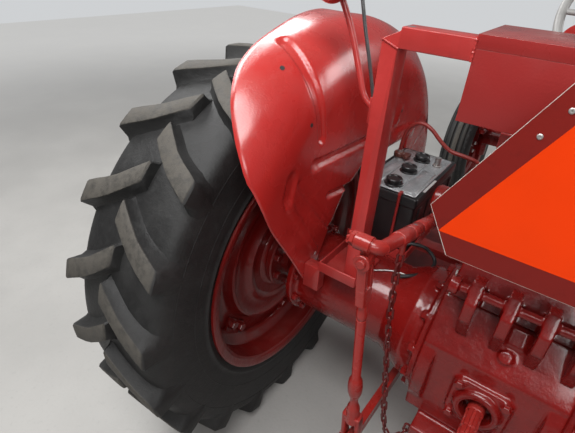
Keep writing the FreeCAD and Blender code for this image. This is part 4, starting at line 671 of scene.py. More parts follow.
def rear_tyre(side_name, side, rubber):
    """The ring, its two rows of lugs and the lines round its sides."""
    shape = Shape()
    skin = [(p.x, p.y) for p in curve_through([(r, o, 0) for r, o in REAR_SKIN], 3)] + REAR_BEAD
    shape.turned(both_sides(skin), steps=TYRE_STEPS, closed=True)
    pitch = 360 / LUG_COUNT
    for n in range(LUG_COUNT):
        add_lug(shape, FIRST_LUG + n * pitch, 1)
        add_lug(shape, FIRST_LUG + (n + 0.5) * pitch, -1)
    for hand in (1, -1):
        for radius, offset, thick in SIDE_LINES:
            ring = [(radius * math.cos(a), hand * offset, radius * math.sin(a)) for a in round_angles(160)]
            shape.pipe(ring, thick, 5, True)
    shape.moved(Matrix.Translation((0, REAR_HUB_Y, REAR_RADIUS))).mirrored(side)
    piece = shape.build("rear_tyre_tread_" + side_name, weld=0)
    return dress(piece, "rear_wheel_" + side_name, "tyre", rubber, "rear_tyre_" + side_name)


# Steel of the rear rim from one flange over the well to the other, on its two faces: radius, offset
RIM_FACE = [(0.318, 0), (0.3185, 0.042), (0.326, 0.054), (0.346, 0.061), (0.352, 0.066), (0.354, 0.09),
            (0.3565, 0.124), (0.37, 0.13), (0.381, 0.1325), (0.384, 0.137), (0.3825, 0.143), (0.378, 0.1447),
            (0.368, 0.142), (0.36, 0.1405), (0.357, 0.1365), (0.3515, 0.1345), (0.349, 0.11), (0.3465, 0.106),
            (0.346, 0.072), (0.34, 0.066), (0.321, 0.06), (0.3125, 0.05), (0.3115, 0)]
# Wheel disc from the hub outward and back on its other face: radius, offset from the tractor's middle
DISC_FACE = [(0.062, 0.6600), (0.105, 0.6600), (0.118, 0.664), (0.124, 0.672), (0.15, 0.674), (0.158, 0.668),
             (0.168, 0.668), (0.178, 0.68), (0.188, 0.684), (0.224, 0.684), (0.232, 0.678), (0.24, 0.68),
             (0.252, 0.706), (0.262, 0.712), (0.312, 0.716), (0.312, 0.7205), (0.259, 0.7165), (0.247, 0.711),
             (0.236, 0.686), (0.231, 0.684), (0.226, 0.689), (0.186, 0.689), (0.175, 0.685), (0.166, 0.674),
             (0.159, 0.674), (0.152, 0.679), (0.122, 0.677), (0.114, 0.668), (0.104, 0.6655), (0.062, 0.6655)]
# Hub with the axle's end: radius, offset from the tractor's middle
HUB_FACE = [(0.02, 0.531), (0.038, 0.533), (0.038, 0.6), (0.062, 0.615), (0.062, 0.64), (0.108, 0.642),
            (0.112, 0.646), (0.112, 0.66), (0.06, 0.66), (0.06, 0.688), (0.052, 0.706), (0.02, 0.7075)]
HUB_BOLTS = 8
HUB_BOLT_CIRCLE = 0.09
CLAMP_COUNT = 6
CLAMP_BOLT = 0.285


def rear_wheel(side_name, side, paint):
    """Rim, dished disc, clamps with their bolts, and the hub, all about the wheel's axis."""
    shape = Shape()
    shape.turned(both_sides(RIM_FACE), (0, REAR_HUB_Y, 0), steps=120, closed=True)
    shape.turned(DISC_FACE, steps=96, closed=True)
    shape.turned(HUB_FACE, steps=64)
    for n in range(HUB_BOLTS):
        a = math.radians(22.5 + 45 * n)
        x, z = HUB_BOLT_CIRCLE * math.cos(a), HUB_BOLT_CIRCLE * math.sin(a)
        shape.hexagon((x, 0.6655, z), (0, 1, 0), 0.024, 0.018)
        shape.hexagon((x, 0.642, z), (0, -1, 0), 0.024, 0.016)
    for n in range(CLAMP_COUNT):
        turn = Matrix.Rotation(math.radians(60 * n + 15), 4, "Y")
        clamp = Shape()
        clamp.slab([(0.268, -0.05), (0.3165, -0.034), (0.3165, 0.034), (0.268, 0.05)], "Y", 0.7045, 0.7125)
        clamp.slab([(0.286, -0.03), (0.318, -0.026), (0.318, 0.026), (0.286, 0.03)], "Y", 0.719, 0.756)
        for z in (-0.026, 0.026):
            clamp.hexagon((CLAMP_BOLT, 0.7045, z), (0, -1, 0), 0.026, 0.017)
            clamp.rod((CLAMP_BOLT, 0.7, z), (CLAMP_BOLT, 0.73, z), 0.007)
            clamp.hexagon((CLAMP_BOLT, 0.7205, z), (0, 1, 0), 0.026, 0.02)
        shape.add([turn @ p for p in clamp.points], clamp.faces)
    shape.moved(Matrix.Translation((0, 0, REAR_RADIUS))).mirrored(side)
    piece = shape.build("rear_wheel_rim_" + side_name, weld=0)
    return dress(piece, "rear_wheel_" + side_name, "rim_red", paint, "rear_rim_" + side_name)


# Half of the ribbed front tread and side: radius, offset
FRONT_SKIN = [(0.3648, 0), (0.3648, 0.0115), (0.3635, 0.0132), (0.3535, 0.0158), (0.3525, 0.017),
              (0.3525, 0.024), (0.3535, 0.0252), (0.3605, 0.028), (0.3615, 0.0295), (0.3598, 0.044),
              (0.358, 0.046), (0.351, 0.0482), (0.35, 0.0495), (0.349, 0.055), (0.3505, 0.0565),
              (0.353, 0.0585), (0.3515, 0.0625), (0.345, 0.0715), (0.333, 0.0775), (0.318, 0.0808),
              (0.30, 0.0822), (0.283, 0.0823), (0.262, 0.0782), (0.246, 0.0722), (0.236, 0.0672),
              (0.232, 0.068), (0.229, 0.066), (0.224, 0.061), (0.2055, 0.0555), (0.2055, 0.038),
              (0.215, 0.046), (0.245, 0.06), (0.285, 0.07), (0.318, 0.066), (0.336, 0.045), (0.34, 0)]
FRONT_RIM = [(0.178, 0), (0.178, 0.019), (0.184, 0.026), (0.2, 0.031), (0.203, 0.04), (0.205, 0.0555),
             (0.214, 0.0595), (0.223, 0.062), (0.2262, 0.0655), (0.2245, 0.0695), (0.221, 0.0705),
             (0.213, 0.0675), (0.201, 0.0635), (0.1985, 0.056), (0.196, 0.036), (0.182, 0.031),
             (0.1745, 0.024), (0.1735, 0)]
FRONT_DISC = [(0.07, -0.004), (0.104, -0.004), (0.112, 0), (0.128, 0.012), (0.138, 0.0145),
              (0.1738, 0.018), (0.1738, 0.0225), (0.136, 0.0192), (0.125, 0.0172), (0.109, 0.0052),
              (0.102, 0.001), (0.07, 0.001)]
# Front hub and its cap: radius, offset
FRONT_HUB_FACE = [(0.0173, -0.048), (0.038, -0.048), (0.04, -0.045), (0.04, -0.021), (0.078, -0.012),
                  (0.078, -0.004), (0.04, 0.002), (0.04, 0.043), (0.033, 0.053), (0.012, 0.056),
                  (0.0005, 0.0562)]
CAMBER = math.acos(JOINTS["front_left_roll"]["axis"][1])
FRONT_KNOBS = 60
FRONT_BOLTS = 5
FRONT_BOLT_CIRCLE = 0.057


def front_wheel(side_name, side, rubber, paint):
    """The camber tilts both pieces about the hub, as the joint's axis says."""
    place = Matrix.Translation(FRONT_HUB) @ Matrix.Rotation(-CAMBER, 4, "X")
    tyre = Shape().turned(both_sides(FRONT_SKIN), steps=128, closed=True)
    for hand in (1, -1):
        for n in range(FRONT_KNOBS):
            a = 2 * math.pi * (n + 0.25 * hand) / FRONT_KNOBS
            knob = Shape().slab([(0.3475, -0.005), (0.3532, -0.004), (0.3532, 0.004), (0.3475, 0.005)], "Y",
                                0.0585, 0.0665)
            turn = Matrix.Rotation(a, 4, "Y")
            tyre.add([turn @ Vector((p.x, hand * p.y, p.z)) for p in knob.points],
                     knob.faces if hand > 0 else [f[::-1] for f in knob.faces])
    piece = tyre.moved(place).mirrored(side).build("front_tyre_tread_" + side_name, weld=0)
    dress(piece, "front_wheel_" + side_name, "tyre", rubber, "front_tyre_" + side_name)
    rim = Shape().turned(both_sides(FRONT_RIM), steps=96, closed=True)
    rim.turned(FRONT_DISC, steps=72, closed=True)
    rim.turned(FRONT_HUB_FACE, steps=48)
    for n in range(FRONT_BOLTS):
        a = math.radians(72 * n)
        bolt = (FRONT_BOLT_CIRCLE * math.cos(a), 0.0, FRONT_BOLT_CIRCLE * math.sin(a))
        rim.hexagon(bolt, (0, 1, 0), 0.019, 0.016)
    piece = rim.moved(place).mirrored(side).build("front_wheel_rim_" + side_name, weld=0)
    return dress(piece, "front_wheel_" + side_name, "rim_red", paint, "front_rim_" + side_name)


# Fenders

# The crown's round at the rear and at the front: centre x and height, radius
REAR_ROUND = (0.064, 0.726, 0.575)
FRONT_ROUND = (0.166, 0.668, 0.637)
# Upright panel's distance from the middle plane, the shoulder's radius, and the front edge
FENDER_PANEL = 0.5
FENDER_CORNER = 0.14
FENDER_FRONT = 0.70
FENDER_TIP = (-0.128, 0.64)
PLATFORM_TOP = 0.51
SHEET = 0.0035
SHEET_ROWS = 96
SHEET_WAVES = 0.0012
# Outer part of the crown that dips: where it starts, how far on the dip is measured, and the dip there
CROWN_FLAT = 0.74
CROWN_DIP = (0.06, 0.014)
# Rear edge of the upright panel: height, x
REAR_LINE = [(0.5, -0.03), (0.64, -0.128), (0.787, -0.224), (0.913, -0.308), (1.016, -0.349),
             (1.08, -0.355), (1.4, -0.355)]
# Outer edge over the shoulder and the crown: x, distance from the middle plane
RIM_LINE = [(-0.356, 0.535), (-0.341, 0.574), (-0.301, 0.623), (-0.241, 0.664), (-0.184, 0.679),
            (-0.094, 0.686), (0.0, 0.70), (0.12, 0.728), (0.25, 0.764), (0.45, 0.80), (0.8, 0.80)]
# Lower edge of the upright panel: x, height
LOWER_EDGE = [FENDER_TIP, (-0.03, 0.79), (0.025, 0.868), (0.12, 0.925), (0.43, 0.925),
              (0.4301, PLATFORM_TOP), (0.62, PLATFORM_TOP), (FENDER_FRONT, 0.666), (0.71, 0.666)]
# Pressed grooves on the upright panel: x, height at the start and end, half width, depth (minus stands out)
GROOVES = [((-0.150, 1.013), (0.26, 0.990), 0.014, 0.011), ((-0.062, 0.897), (0.20, 0.862), 0.011, 0.010),
           ((0.342, 1.065), (0.30, 1.0), 0.006, -0.004)]
# Long soft creases and one dent: x, height at the start and end, half width, depth
CREASES = [((-0.206, 0.984), (-0.015, 0.765), 0.012, 0.0035),
           ((-0.242, 0.942), (-0.102, 0.745), 0.014, -0.003),
           ((-0.238, 1.006), (-0.247, 0.965), 0.022, 0.007), ((0.33, 0.95), (0.46, 0.94), 0.03, -0.004)]
# The radial rib that runs from the panel over the shoulder: angle and distance along the sheet at each end
RIB = ((119.0, 0.398), (107.6, 0.70))
RIB_HALF = 0.0165
# Share of that line that the rib takes
RIB_SHARE = 0.80
RIB_DEPTH = 0.0085
# Holes in the sheet, which is not cut: discs of painted shade stand in for them. Angle, distance along the
# sheet, radius
HOLES = [(117.0, 0.59, 0.0055), (121.5, 0.458, 0.0045), (64.0, 0.60, 0.0045), (66.0, 0.40, 0.0045)]


def fair_line(points):
    """A function that gives the second value of a smooth line through the points for the first."""
    line = [(p.x, p.y) for p in curve_through([(a, b, 0) for a, b in points], 12)]

    def value(at):
        for (a0, b0), (a1, b1) in zip(line, line[1:]):
            if at <= a1:
                return b0 + (b1 - b0) * (at - a0) / (a1 - a0)
        return line[-1][1]
    return value


REAR_CUT = fair_line(REAR_LINE)
RIM_CUT = fair_line(RIM_LINE)


def sheet_place(angle, reach):
    """A point of the fender, reach metres along its sheet from the centre, and the outward direction."""
    share = max(0.0, min(1.0, (115 - angle) / 55))
    share *= share * (3 - 2 * share)
    centre_x, centre_z, crown = [a + (b - a) * share for a, b in zip(REAR_ROUND, FRONT_ROUND)]
    flat = crown - FENDER_CORNER
    bend = FENDER_CORNER * math.pi / 2
    if reach <= flat:
        radius, y, lean = reach, FENDER_PANEL, 0.0
    elif reach <= flat + bend:
        lean = (reach - flat) / FENDER_CORNER
        radius = flat + FENDER_CORNER * math.sin(lean)
        y = FENDER_PANEL + FENDER_CORNER * (1 - math.cos(lean))
    else:
        lean = math.pi / 2
        radius, y = crown, FENDER_PANEL + FENDER_CORNER + reach - flat - bend
    if y > CROWN_FLAT:
        span, dip = CROWN_DIP
        radius -= dip * ((y - CROWN_FLAT) / span) ** 2
    a = math.radians(angle)
    outward = Vector((math.sin(lean) * math.cos(a), -math.cos(lean), math.sin(lean) * math.sin(a)))
    place = Vector((centre_x + radius * math.cos(a), y, centre_z + radius * math.sin(a)))
    return place, outward


def sheet_kept(point):
    """True inside the fender's cut edges."""
    x, y, z = point
    if x > FENDER_FRONT or x < REAR_CUT(z) or y > RIM_CUT(x):
        return False
    for (x0, z0), (x1, z1) in zip(LOWER_EDGE, LOWER_EDGE[1:]):
        if x0 <= x <= x1:
            return z >= z0 + (z1 - z0) * (x - x0) / (x1 - x0)
    return x < FENDER_TIP[0]


def sheet_limits(angle):
    """The reaches between which the sheet exists at an angle, or None."""
    steps, longest = 160, FRONT_ROUND[2] - FENDER_CORNER + FENDER_CORNER * math.pi / 2 + 0.18
    inside = [n for n in range(steps + 1) if sheet_kept(sheet_place(angle, longest * n / steps)[0])]
    if not inside:
        return None

    def edge(out, kept):
        for _ in range(18):
            middle = (out + kept) / 2
            if sheet_kept(sheet_place(angle, middle)[0]):
                kept = middle
            else:
                out = middle
        return kept

    step = longest / steps
    first, last = inside[0] * step, inside[-1] * step
    return edge(first - step, first), edge(last + step, last)


def strip_share(point, start, end, half):
    """1 on a strip's middle line, 0 past its half width, with round ends."""
    a, b, p = Vector(start), Vector(end), Vector(point)
    t = max(0.0, min(1.0, (p - a).dot(b - a) / (b - a).length_squared))
    gap = (p - a - t * (b - a)).length / half
    fall = max(0.0, gap - 0.5) / 0.5
    return 0.0 if gap >= 1 else 1 - fall ** 2 * (3 - 2 * fall)


def press(angle, reach, place):
    """How far the sheet is pressed in at a place."""
    depth = 0.0
    if place.y < FENDER_PANEL + 0.03:
        for start, end, half, deep in GROOVES + CREASES:
            depth += deep * strip_share((place.x, place.z), start, end, half)
    radius = min(reach, 0.56)
    (a0, t0), (a1, t1) = RIB
    start = (math.radians(a0) * radius, t0)
    end = (math.radians(a0 + (a1 - a0) * RIB_SHARE) * radius, t0 + (t1 - t0) * RIB_SHARE)
    depth += RIB_DEPTH * strip_share((math.radians(angle) * radius, reach), start, end, RIB_HALF)
    return depth + SHEET_WAVES * noise.noise(Vector((place.x * 9, place.y * 9, place.z * 9)))


def fender_angles():
    """Angles round the sheet, close together where the rib is."""
    angles, a = [], -31.0
    while a < 204.0:
        angles.append(a)
        a += 0.4 if 105 < a < 124 else 1.1 if 85 < a < 145 else 1.6
    return angles + [204.0]


def fender(side_name, side, paint, dark):
    """The pressed sheet, with a rolled rim, and black discs of painted shade where its holes are, as the
    sheet is not cut.
    """
    columns = []
    for angle in fender_angles():
        limits = sheet_limits(angle)
        if limits is None:
            continue
        low, high = limits
        column = []
        for n in range(SHEET_ROWS + 1):
            reach = low + (high - low) * n / SHEET_ROWS
            place, outward = sheet_place(angle, reach)
            rim = min(n, SHEET_ROWS - n) / 2
            roll = 0.003 * max(0.0, 1 - rim)
            column.append(place - outward * (press(angle, reach, place) + roll))
        columns.append(column)
    shape = Shape()
    points = [p for column in columns for p in column]
    rows = SHEET_ROWS + 1
    faces = [(c * rows + r, c * rows + r + 1, (c + 1) * rows + r + 1, (c + 1) * rows + r)
             for c in range(len(columns) - 1) for r in range(SHEET_ROWS)]
    piece = shape.add(points, faces).mirrored(side).build("fender_shell_" + side_name)
    thick = piece.modifiers.new("sheet", "SOLIDIFY")
    thick.thickness, thick.offset = SHEET, -side
    apply_modifiers(piece)
    smooth(piece, SHEET_ANGLE)
    dress(piece, "chassis", "sheet_red", paint, "fender_" + side_name)
    # Black discs laid in the uncut sheet are painted shade, standing for the dark seen through its holes.
    hole_shade_discs = Shape()
    for angle, reach, radius in HOLES:
        place, outward = sheet_place(angle, reach)
        place -= outward * press(angle, reach, place)
        hole_shade_discs.rod(place - outward * 0.002, place + outward * 0.0004, radius, 20)
    return dress(hole_shade_discs.mirrored(side).build("fender_holes_" + side_name), "chassis", "radiator_black", dark)


# Finishes by name

def colours():
    return bpy.context.scene.tractor_colours


def chosen(name):
    """One of the colours that a user can change."""
    return tuple(getattr(colours(), name))


def finish(name):
    """The named finish, made when it is first asked for."""
    if name not in bpy.data.materials:
        MAKERS[name](name)
    return bpy.data.materials[name]


MAKERS = {
    "sheet red": lambda name: sheet_paint(name, chosen("sheet"), colours().gloss),
    "box red": lambda name: sheet_paint(name, chosen("box"), 0.34, 0.3, 0.2),
    "lid red": lambda name: sheet_paint(name, chosen("box"), 0.2, 0.6, 0.3),
    "cast red": lambda name: cast_paint(name, chosen("casting")),
    "chain red": lambda name: cast_paint(name, tinted(chosen("casting"), 0.55), 0.42, 0.15),
    "frame red": lambda name: brushed_paint(name, chosen("frame"), 0.3, POST_CHIPS),
    "link red": lambda name: brushed_paint(name, chosen("link"), 0.26, LINK_CHIPS),
    "rim red": lambda name: cast_paint(name, chosen("rim"), 0.3, 0.1),
    "bright steel": lambda name: bare_metal(name, (0.55, 0.54, 0.52)),
    "dark steel": lambda name: bare_metal(name, (0.12, 0.115, 0.11), 0.5, 0.4),
    "exhaust steel": lambda name: bare_metal(name, (0.10, 0.085, 0.075), 0.6, 0.8),
    "radiator black": lambda name: plastic(name, (0.02, 0.02, 0.021), 0.5, 0.0008),
    "battery black": lambda name: plastic(name, (0.012, 0.012, 0.013), 0.3, 0.0002, 0.5),
    "battery lid": lambda name: milky_plastic(name, chosen("battery_lid")),
    "cap black": lambda name: plastic(name, (0.015, 0.015, 0.016), 0.28, 0.0001, 0.2),
    "white strip": lambda name: plastic(name, (0.6, 0.6, 0.58), 0.4, 0.0002, 0.6),
    "wheel grey": lambda name: plastic(name, (0.30, 0.30, 0.29), 0.35, 0.0003, 0.5),
    "seat black": lambda name: vinyl(name, (0.02, 0.02, 0.021)),
    "rubber hose": lambda name: plastic(name, (0.014, 0.014, 0.015), 0.5, 0.0004),
    "cable red": lambda name: plastic(name, (0.24, 0.025, 0.02), 0.34, 0.0003, 0.4),
    "cable black": lambda name: plastic(name, (0.05, 0.05, 0.052), 0.4, 0.0003, 0.5),
    "clamp brown": lambda name: cast_paint(name, (0.12, 0.035, 0.025), 0.6, 0.2),
    "orange sheet": lambda name: glow_sheet(name, chosen("triangle")),
    "border sheet": lambda name: border_sheet(name, chosen("border")),
    "plate edge": lambda name: plastic(name, (0.55, 0.5, 0.45), 0.4, 0.0002, 0.6),
}


# Places where the paint is chipped off: centre, reach
POST_CHIPS = [((-0.07, 0.375, 1.295), 0.012), ((-0.075, 0.36, 1.318), 0.01), ((-0.1, 0.352, 1.325), 0.014)]
LINK_CHIPS = [((-0.33, 0.30, 0.975), 0.008), ((-0.15, 0.24, 0.965), 0.008)]


def soften(node, slot, material, bevel=0.0015, segments=2):
    """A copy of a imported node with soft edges, in its place."""
    piece = Shape().node(node).build(node + "_looks", bevel, segments, flat=True)
    return dress(piece, body_of(frame["nodes"][node])[0], slot, finish(material), node)


def part(shape, name, body, slot, material, bevel=0.0, *nodes):
    """Builds a shape and dresses it in one go."""
    return dress(shape.build(name, bevel), body, slot, finish(material), *nodes)


# Castings

CENTRE_TOP = REAR_RADIUS + 0.1975
REAR_FACE = -0.175
PTO_HEIGHT = REAR_RADIUS - 0.0025
FLANGE_FACE = 0.167
FLANGE_CIRCLE = 0.165
FLANGE_NUTS = 12
HUB_END_FACE = REAR_HUB_Y - 0.214
HUB_END_CIRCLE = 0.130
HUB_END_NUTS = 10
COVER_FACE = REAR_FACE - 0.012
COVER_BOLT = 0.049
EAR_ROD = (-0.150, CENTRE_TOP + 0.065)
EAR_CAP_Y = 0.134


def nut_ring(shape, count, circle, y, direction, size, height):
    """Nuts about the rear axle, on an upright face across it."""
    for n in range(count):
        a = 2 * math.pi * (n + 0.5) / count
        place = (circle * math.cos(a), y, REAR_RADIUS + circle * math.sin(a))
        shape.hexagon(place, (0, direction, 0), size, height)


def casting_bolts():
    """Flange nuts, cover bolts and the cotters of the cross rod, on the castings."""
    shape = Shape()
    for side in (1, -1):
        nut_ring(shape, FLANGE_NUTS, FLANGE_CIRCLE, side * FLANGE_FACE, side, 0.0205, 0.0145)
        nut_ring(shape, HUB_END_NUTS, HUB_END_CIRCLE, side * HUB_END_FACE, -side, 0.017, 0.012)
        for rise in (1, -1):
            place = (COVER_FACE, side * COVER_BOLT, PTO_HEIGHT + rise * COVER_BOLT)
            shape.hexagon(place, (-1, 0, 0), 0.018, 0.0115)
    part(shape, "casting_bolts", "chassis", "cast_red", "cast red")
    cotters = Shape()
    x, z = EAR_ROD
    for side in (1, -1):
        y = side * EAR_CAP_Y
        cotters.pipe([(x, y, z - 0.026), (x, y, z + 0.022)], 0.002, 8)
        eye = [(x + 0.0045 * math.cos(a), y, z + 0.0265 + 0.0045 * math.sin(a)) for a in round_angles(6)]
        cotters.pipe(eye, 0.0018, 8, True)
        cotters.pipe([(x, y, z - 0.026), (x - 0.009, y, z - 0.031)], 0.002, 8)
    part(cotters, "rod_cotters", "chassis", "bright_steel", "bright steel")


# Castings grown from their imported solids: voxel size, rounds of smoothing
CASTINGS = {"rear_axle_housing": (0.0036, 4), "lift_housing": (0.003, 3), "gearbox": (0.0055, 3),
            "front_bolster": (0.005, 3)}


def castings():
    for node, (grain, rounds) in CASTINGS.items():
        piece = cast(node + "_casting", Shape().node(node), grain, rounds)
        dress(piece, "chassis", "cast_red", finish("cast red"), node)
    soften("drawbar", "cast_red", "cast red", 0.003)
    casting_bolts()


# Power take-off shaft

SPLINES = 6
SPLINE_ROOT = 0.0140
SPLINE_TOP = 0.01745
SPLINE_HALF = 0.0045
SHAFT_END = -0.275
SHAFT_SHOULDER = -0.203
# Chamfer and groove of the stub: distance from its end, share of the full section
STUB_STEPS = [(0, 0.86), (0.003, 1.0), (0.018, 1.0), (0.020, 0.82), (0.026, 0.82), (0.028, 1.0)]


def power_shaft():
    """The splined stub, its chamfered end and the thicker journal behind it."""
    ring = []
    for n in range(SPLINES):
        middle = 2 * math.pi * n / SPLINES
        half_top, half_root = SPLINE_HALF / SPLINE_TOP, SPLINE_HALF / SPLINE_ROOT
        for a in (-half_top, 0, half_top):
            ring.append((SPLINE_TOP, middle + a))
        gap = 2 * math.pi / SPLINES - 2 * half_root
        for k in range(4):
            ring.append((SPLINE_ROOT, middle + half_root + gap * k / 3))

    def section(x, share):
        return [(x, r * share * math.cos(a), PTO_HEIGHT + r * share * math.sin(a)) for r, a in ring]

    shape = Shape()
    sections = [section(SHAFT_END + distance, share) for distance, share in STUB_STEPS]
    shape.rings(sections + [section(SHAFT_SHOULDER, 1.0)])
    shape.along((SHAFT_SHOULDER - 0.002, 0, PTO_HEIGHT), (0, 0, PTO_HEIGHT),
                [(0.0165, 0), (0.01895, 0.0025), (0.01895, 0.0417)], 48)
    return part(shape, "splined_shaft", "pto_shaft", "cast_red", "link red", 0.0, "pto_shaft")


# Rear frame, tool box and warning plate

def weld_bead(shape, start, end, radius=0.003):
    """A rippled weld between two points."""
    start, end = Vector(start), Vector(end)
    count = max(6, int((end - start).length / 0.0022))
    profile = []
    for n in range(count + 1):
        ripple = 0.82 + 0.18 * math.sin(n * 2.1) + 0.12 * noise.noise(Vector((n * 0.7, radius * 900, 0)))
        profile.append((radius * ripple, (end - start).length * n / count))
    return shape.along(start, end, profile, 10)


POST_X = (-0.120, -0.070)
POST_Y = (REAR_HUB_Y - 0.394, REAR_HUB_Y - 0.359)
BEAM_Z = (REAR_RADIUS + 0.6865, REAR_RADIUS + 0.7255)
BOX_HALF = 0.226
TRAY_Z = REAR_RADIUS + 0.120


def rear_frame():
    """Posts with the welds that join them to the box's beam and the battery's tray."""
    for side_name, side in SIDES:
        soften("frame_post_" + side_name, "frame_red", "frame red", 0.0022, 3)
        welds = Shape()
        x0, x1 = POST_X
        y0, y1 = POST_Y
        low, top = BEAM_Z
        weld_bead(welds, (x0, y0 - 0.001, low), (x0, y1 - 0.002, low + 0.013), 0.0028)
        weld_bead(welds, (x1, y0 - 0.001, low), (x1, y1 - 0.002, low + 0.013), 0.0028)
        weld_bead(welds, (x0 + 0.002, BOX_HALF + 0.001, top), (x1 - 0.002, BOX_HALF + 0.001, top), 0.003)
        weld_bead(welds, (x0, BOX_HALF + 0.001, low), (x0, BOX_HALF + 0.001, top), 0.003)
        weld_bead(welds, (x0, y0, TRAY_Z + 0.005), (x0, y1, TRAY_Z + 0.005), 0.0032)
        weld_bead(welds, (x0, y0, TRAY_Z + 0.005), (x1, y0, TRAY_Z + 0.005), 0.0032)
        part(welds.mirrored(side), "post_welds_" + side_name, "chassis", "frame_red", "frame red")


def tool_box():
    soften("tool_box", "frame_red", "box red", 0.0016, 3)
    soften("tool_box_lid", "sheet_red", "lid red", 0.0022, 3)


PLATE_X = -0.222
TRIANGLE_LOW = 1.013
TRIANGLE_HALF = 0.178
TRIANGLE_TOP = TRIANGLE_LOW + TRIANGLE_HALF * math.sqrt(3)
PLATE_OUTLINE = [(0.1524, 0.968), (0.20398, 1.058), (0.05196, 1.3213), (-0.05196, 1.3213), (-0.20398, 1.058),
                 (-0.1524, 0.968)]
PLATE_SCREWS = [(0.077, 1.224), (0.051, 1.269), (-0.077, 1.224), (-0.051, 1.269)]
# Hollow screw head: radius, height
SCREW_HEAD = [(0.0046, 0), (0.0046, 0.0008), (0.0034, 0.0018), (0.0018, 0.0018), (0.0016, 0.0004)]


def warning_plate():
    """The six-sided plate with its dull border, orange middle, pale cut edge, strap and screws."""
    sheet = Shape().node("warning_plate")
    part(sheet, "plate_back", "chassis", "frame_red", "plate edge", 0.0, "warning_plate")
    skin = Shape()
    inner = []
    centre = Vector((0, 1.13))
    for y, z in PLATE_OUTLINE:
        way = (centre - Vector((y, z))).normalized()
        inner.append((y + way.x * 0.0012, z + way.y * 0.0012))
    skin.slab(inner, "X", PLATE_X - 0.0003, PLATE_X + 0.0004)
    part(skin, "plate_border", "chassis", "warning_orange", "border sheet")
    corners = [(TRIANGLE_HALF, TRIANGLE_LOW), (0, TRIANGLE_TOP - 0.0005), (-TRIANGLE_HALF, TRIANGLE_LOW)]
    front = Shape().slab(corners, "X", PLATE_X - 0.0006, PLATE_X + 0.0002)
    part(front, "plate_triangle", "chassis", "warning_orange", "orange sheet")
    screws = Shape()
    for y, z in PLATE_SCREWS:
        screws.along((PLATE_X - 0.0003, y, z), (PLATE_X - 0.01, y, z), SCREW_HEAD, 20)
    part(screws, "plate_screws", "chassis", "bright_steel", "bright steel")


# Battery

BATTERY = ((0.074, 0.312, 0.708), (0.402, 0.490, 0.900))
CAPS = [(0.115, 0.400), (0.219, 0.400), (0.323, 0.400)]
TERMINALS = [(0.300, 0.466), (0.322, 0.350)]
# A filler cap and a terminal post: radius, height over the lid
CAP_FACE = [(0.0005, 0.0), (0.026, 0.0), (0.026, 0.004), (0.0245, 0.0055), (0.019, 0.0055), (0.019, 0.013),
            (0.0225, 0.0135), (0.0225, 0.018), (0.021, 0.0197), (0.016, 0.0197), (0.0145, 0.0178),
            (0.0005, 0.0178)]
POST_FACE = [(0.0005, -0.004), (0.014, -0.004), (0.014, 0.002), (0.0095, 0.003), (0.0085, 0.026),
             (0.0005, 0.026)]
CASE_RIBS = 5


def rounded_plan(low, high, corner, steps=4):
    """Corner points of a level rectangle with round corners."""
    points = []
    for x, y, start in ((high[0] - corner, high[1] - corner, 0), (low[0] + corner, high[1] - corner, 90),
                        (low[0] + corner, low[1] + corner, 180), (high[0] - corner, low[1] + corner, 270)):
        for k in range(steps + 1):
            a = math.radians(start + 90 * k / steps)
            points.append((x + corner * math.cos(a), y + corner * math.sin(a)))
    return points


def stacked(shape, low, high, corner, steps):
    """A body of level sections with round corners, from (inset, height) steps."""
    rings = []
    for inset, z in steps:
        plan = rounded_plan([a + inset for a in low], [b - inset for b in high], corner)
        rings.append([(x, y, z) for x, y in plan])
    return shape.rings(rings)


def battery():
    """Ribbed case, rim, pale lid with its raised fields, filler caps, posts and tray."""
    (x0, y0, z0), (x1, y1, z1) = BATTERY
    seam = z1 - 0.022
    case = stacked(Shape(), (x0, y0), (x1, y1), 0.008,
                   [(0.003, z0), (0.001, z0 + 0.004), (0.0025, seam - 0.02), (0.0025, seam - 0.012),
                    (0.0, seam - 0.01), (0.0, seam)])
    for n in range(CASE_RIBS):
        x = x0 + 0.04 + n * 0.062
        case.block((x, y0, z0 + 0.012), (x + 0.022, y0 + 0.0035, seam - 0.026))
    part(case, "battery_body", "chassis", "battery_black", "battery black", 0.0008, "battery_case")
    lid = stacked(Shape(), (x0, y0), (x1, y1), 0.009,
                  [(0.0, seam), (0.0, z1 - 0.008), (0.002, z1 - 0.005), (0.008, z1 - 0.004),
                   (0.009, z1 - 0.005)])
    part(lid, "battery_rim", "chassis", "battery_black", "battery black")
    top = Shape()
    for low, high, z in (((x0 + 0.012, y0 + 0.012), (x1 - 0.012, y1 - 0.012), z1 - 0.002),
                         ((x0 + 0.018, y0 + 0.064), (x1 - 0.064, y1 - 0.062), z1 + 0.0015),
                         ((x0 + 0.020, y0 + 0.018), (x0 + 0.19, y0 + 0.058), z1 + 0.001),
                         ((x0 + 0.020, y1 - 0.056), (x0 + 0.19, y1 - 0.018), z1 + 0.001)):
        stacked(top, low, high, 0.007, [(0.0, z1 - 0.006), (0.0, z - 0.002), (0.002, z)])
    part(top, "battery_lid", "chassis", "battery_grey", "battery lid", 0.0, "battery_top")
    caps = Shape()
    for x, y in CAPS:
        caps.turned(CAP_FACE, (x, y, z1), "Z", 40)
    part(caps, "battery_caps", "chassis", "battery_black", "cap black")
    posts = Shape()
    for x, y in TERMINALS:
        posts.turned(POST_FACE, (x, y, z1), "Z", 24)
    part(posts, "battery_posts", "chassis", "bright_steel", "bright steel")
    strip = Shape().block((x0 + 0.060, y0 + 0.002, z1 - 0.0055), (x0 + 0.152, y0 + 0.009, z1 - 0.0038))
    part(strip, "battery_strip", "chassis", "battery_grey", "white strip")
    soften("battery_tray", "frame_red", "frame red", 0.0015)


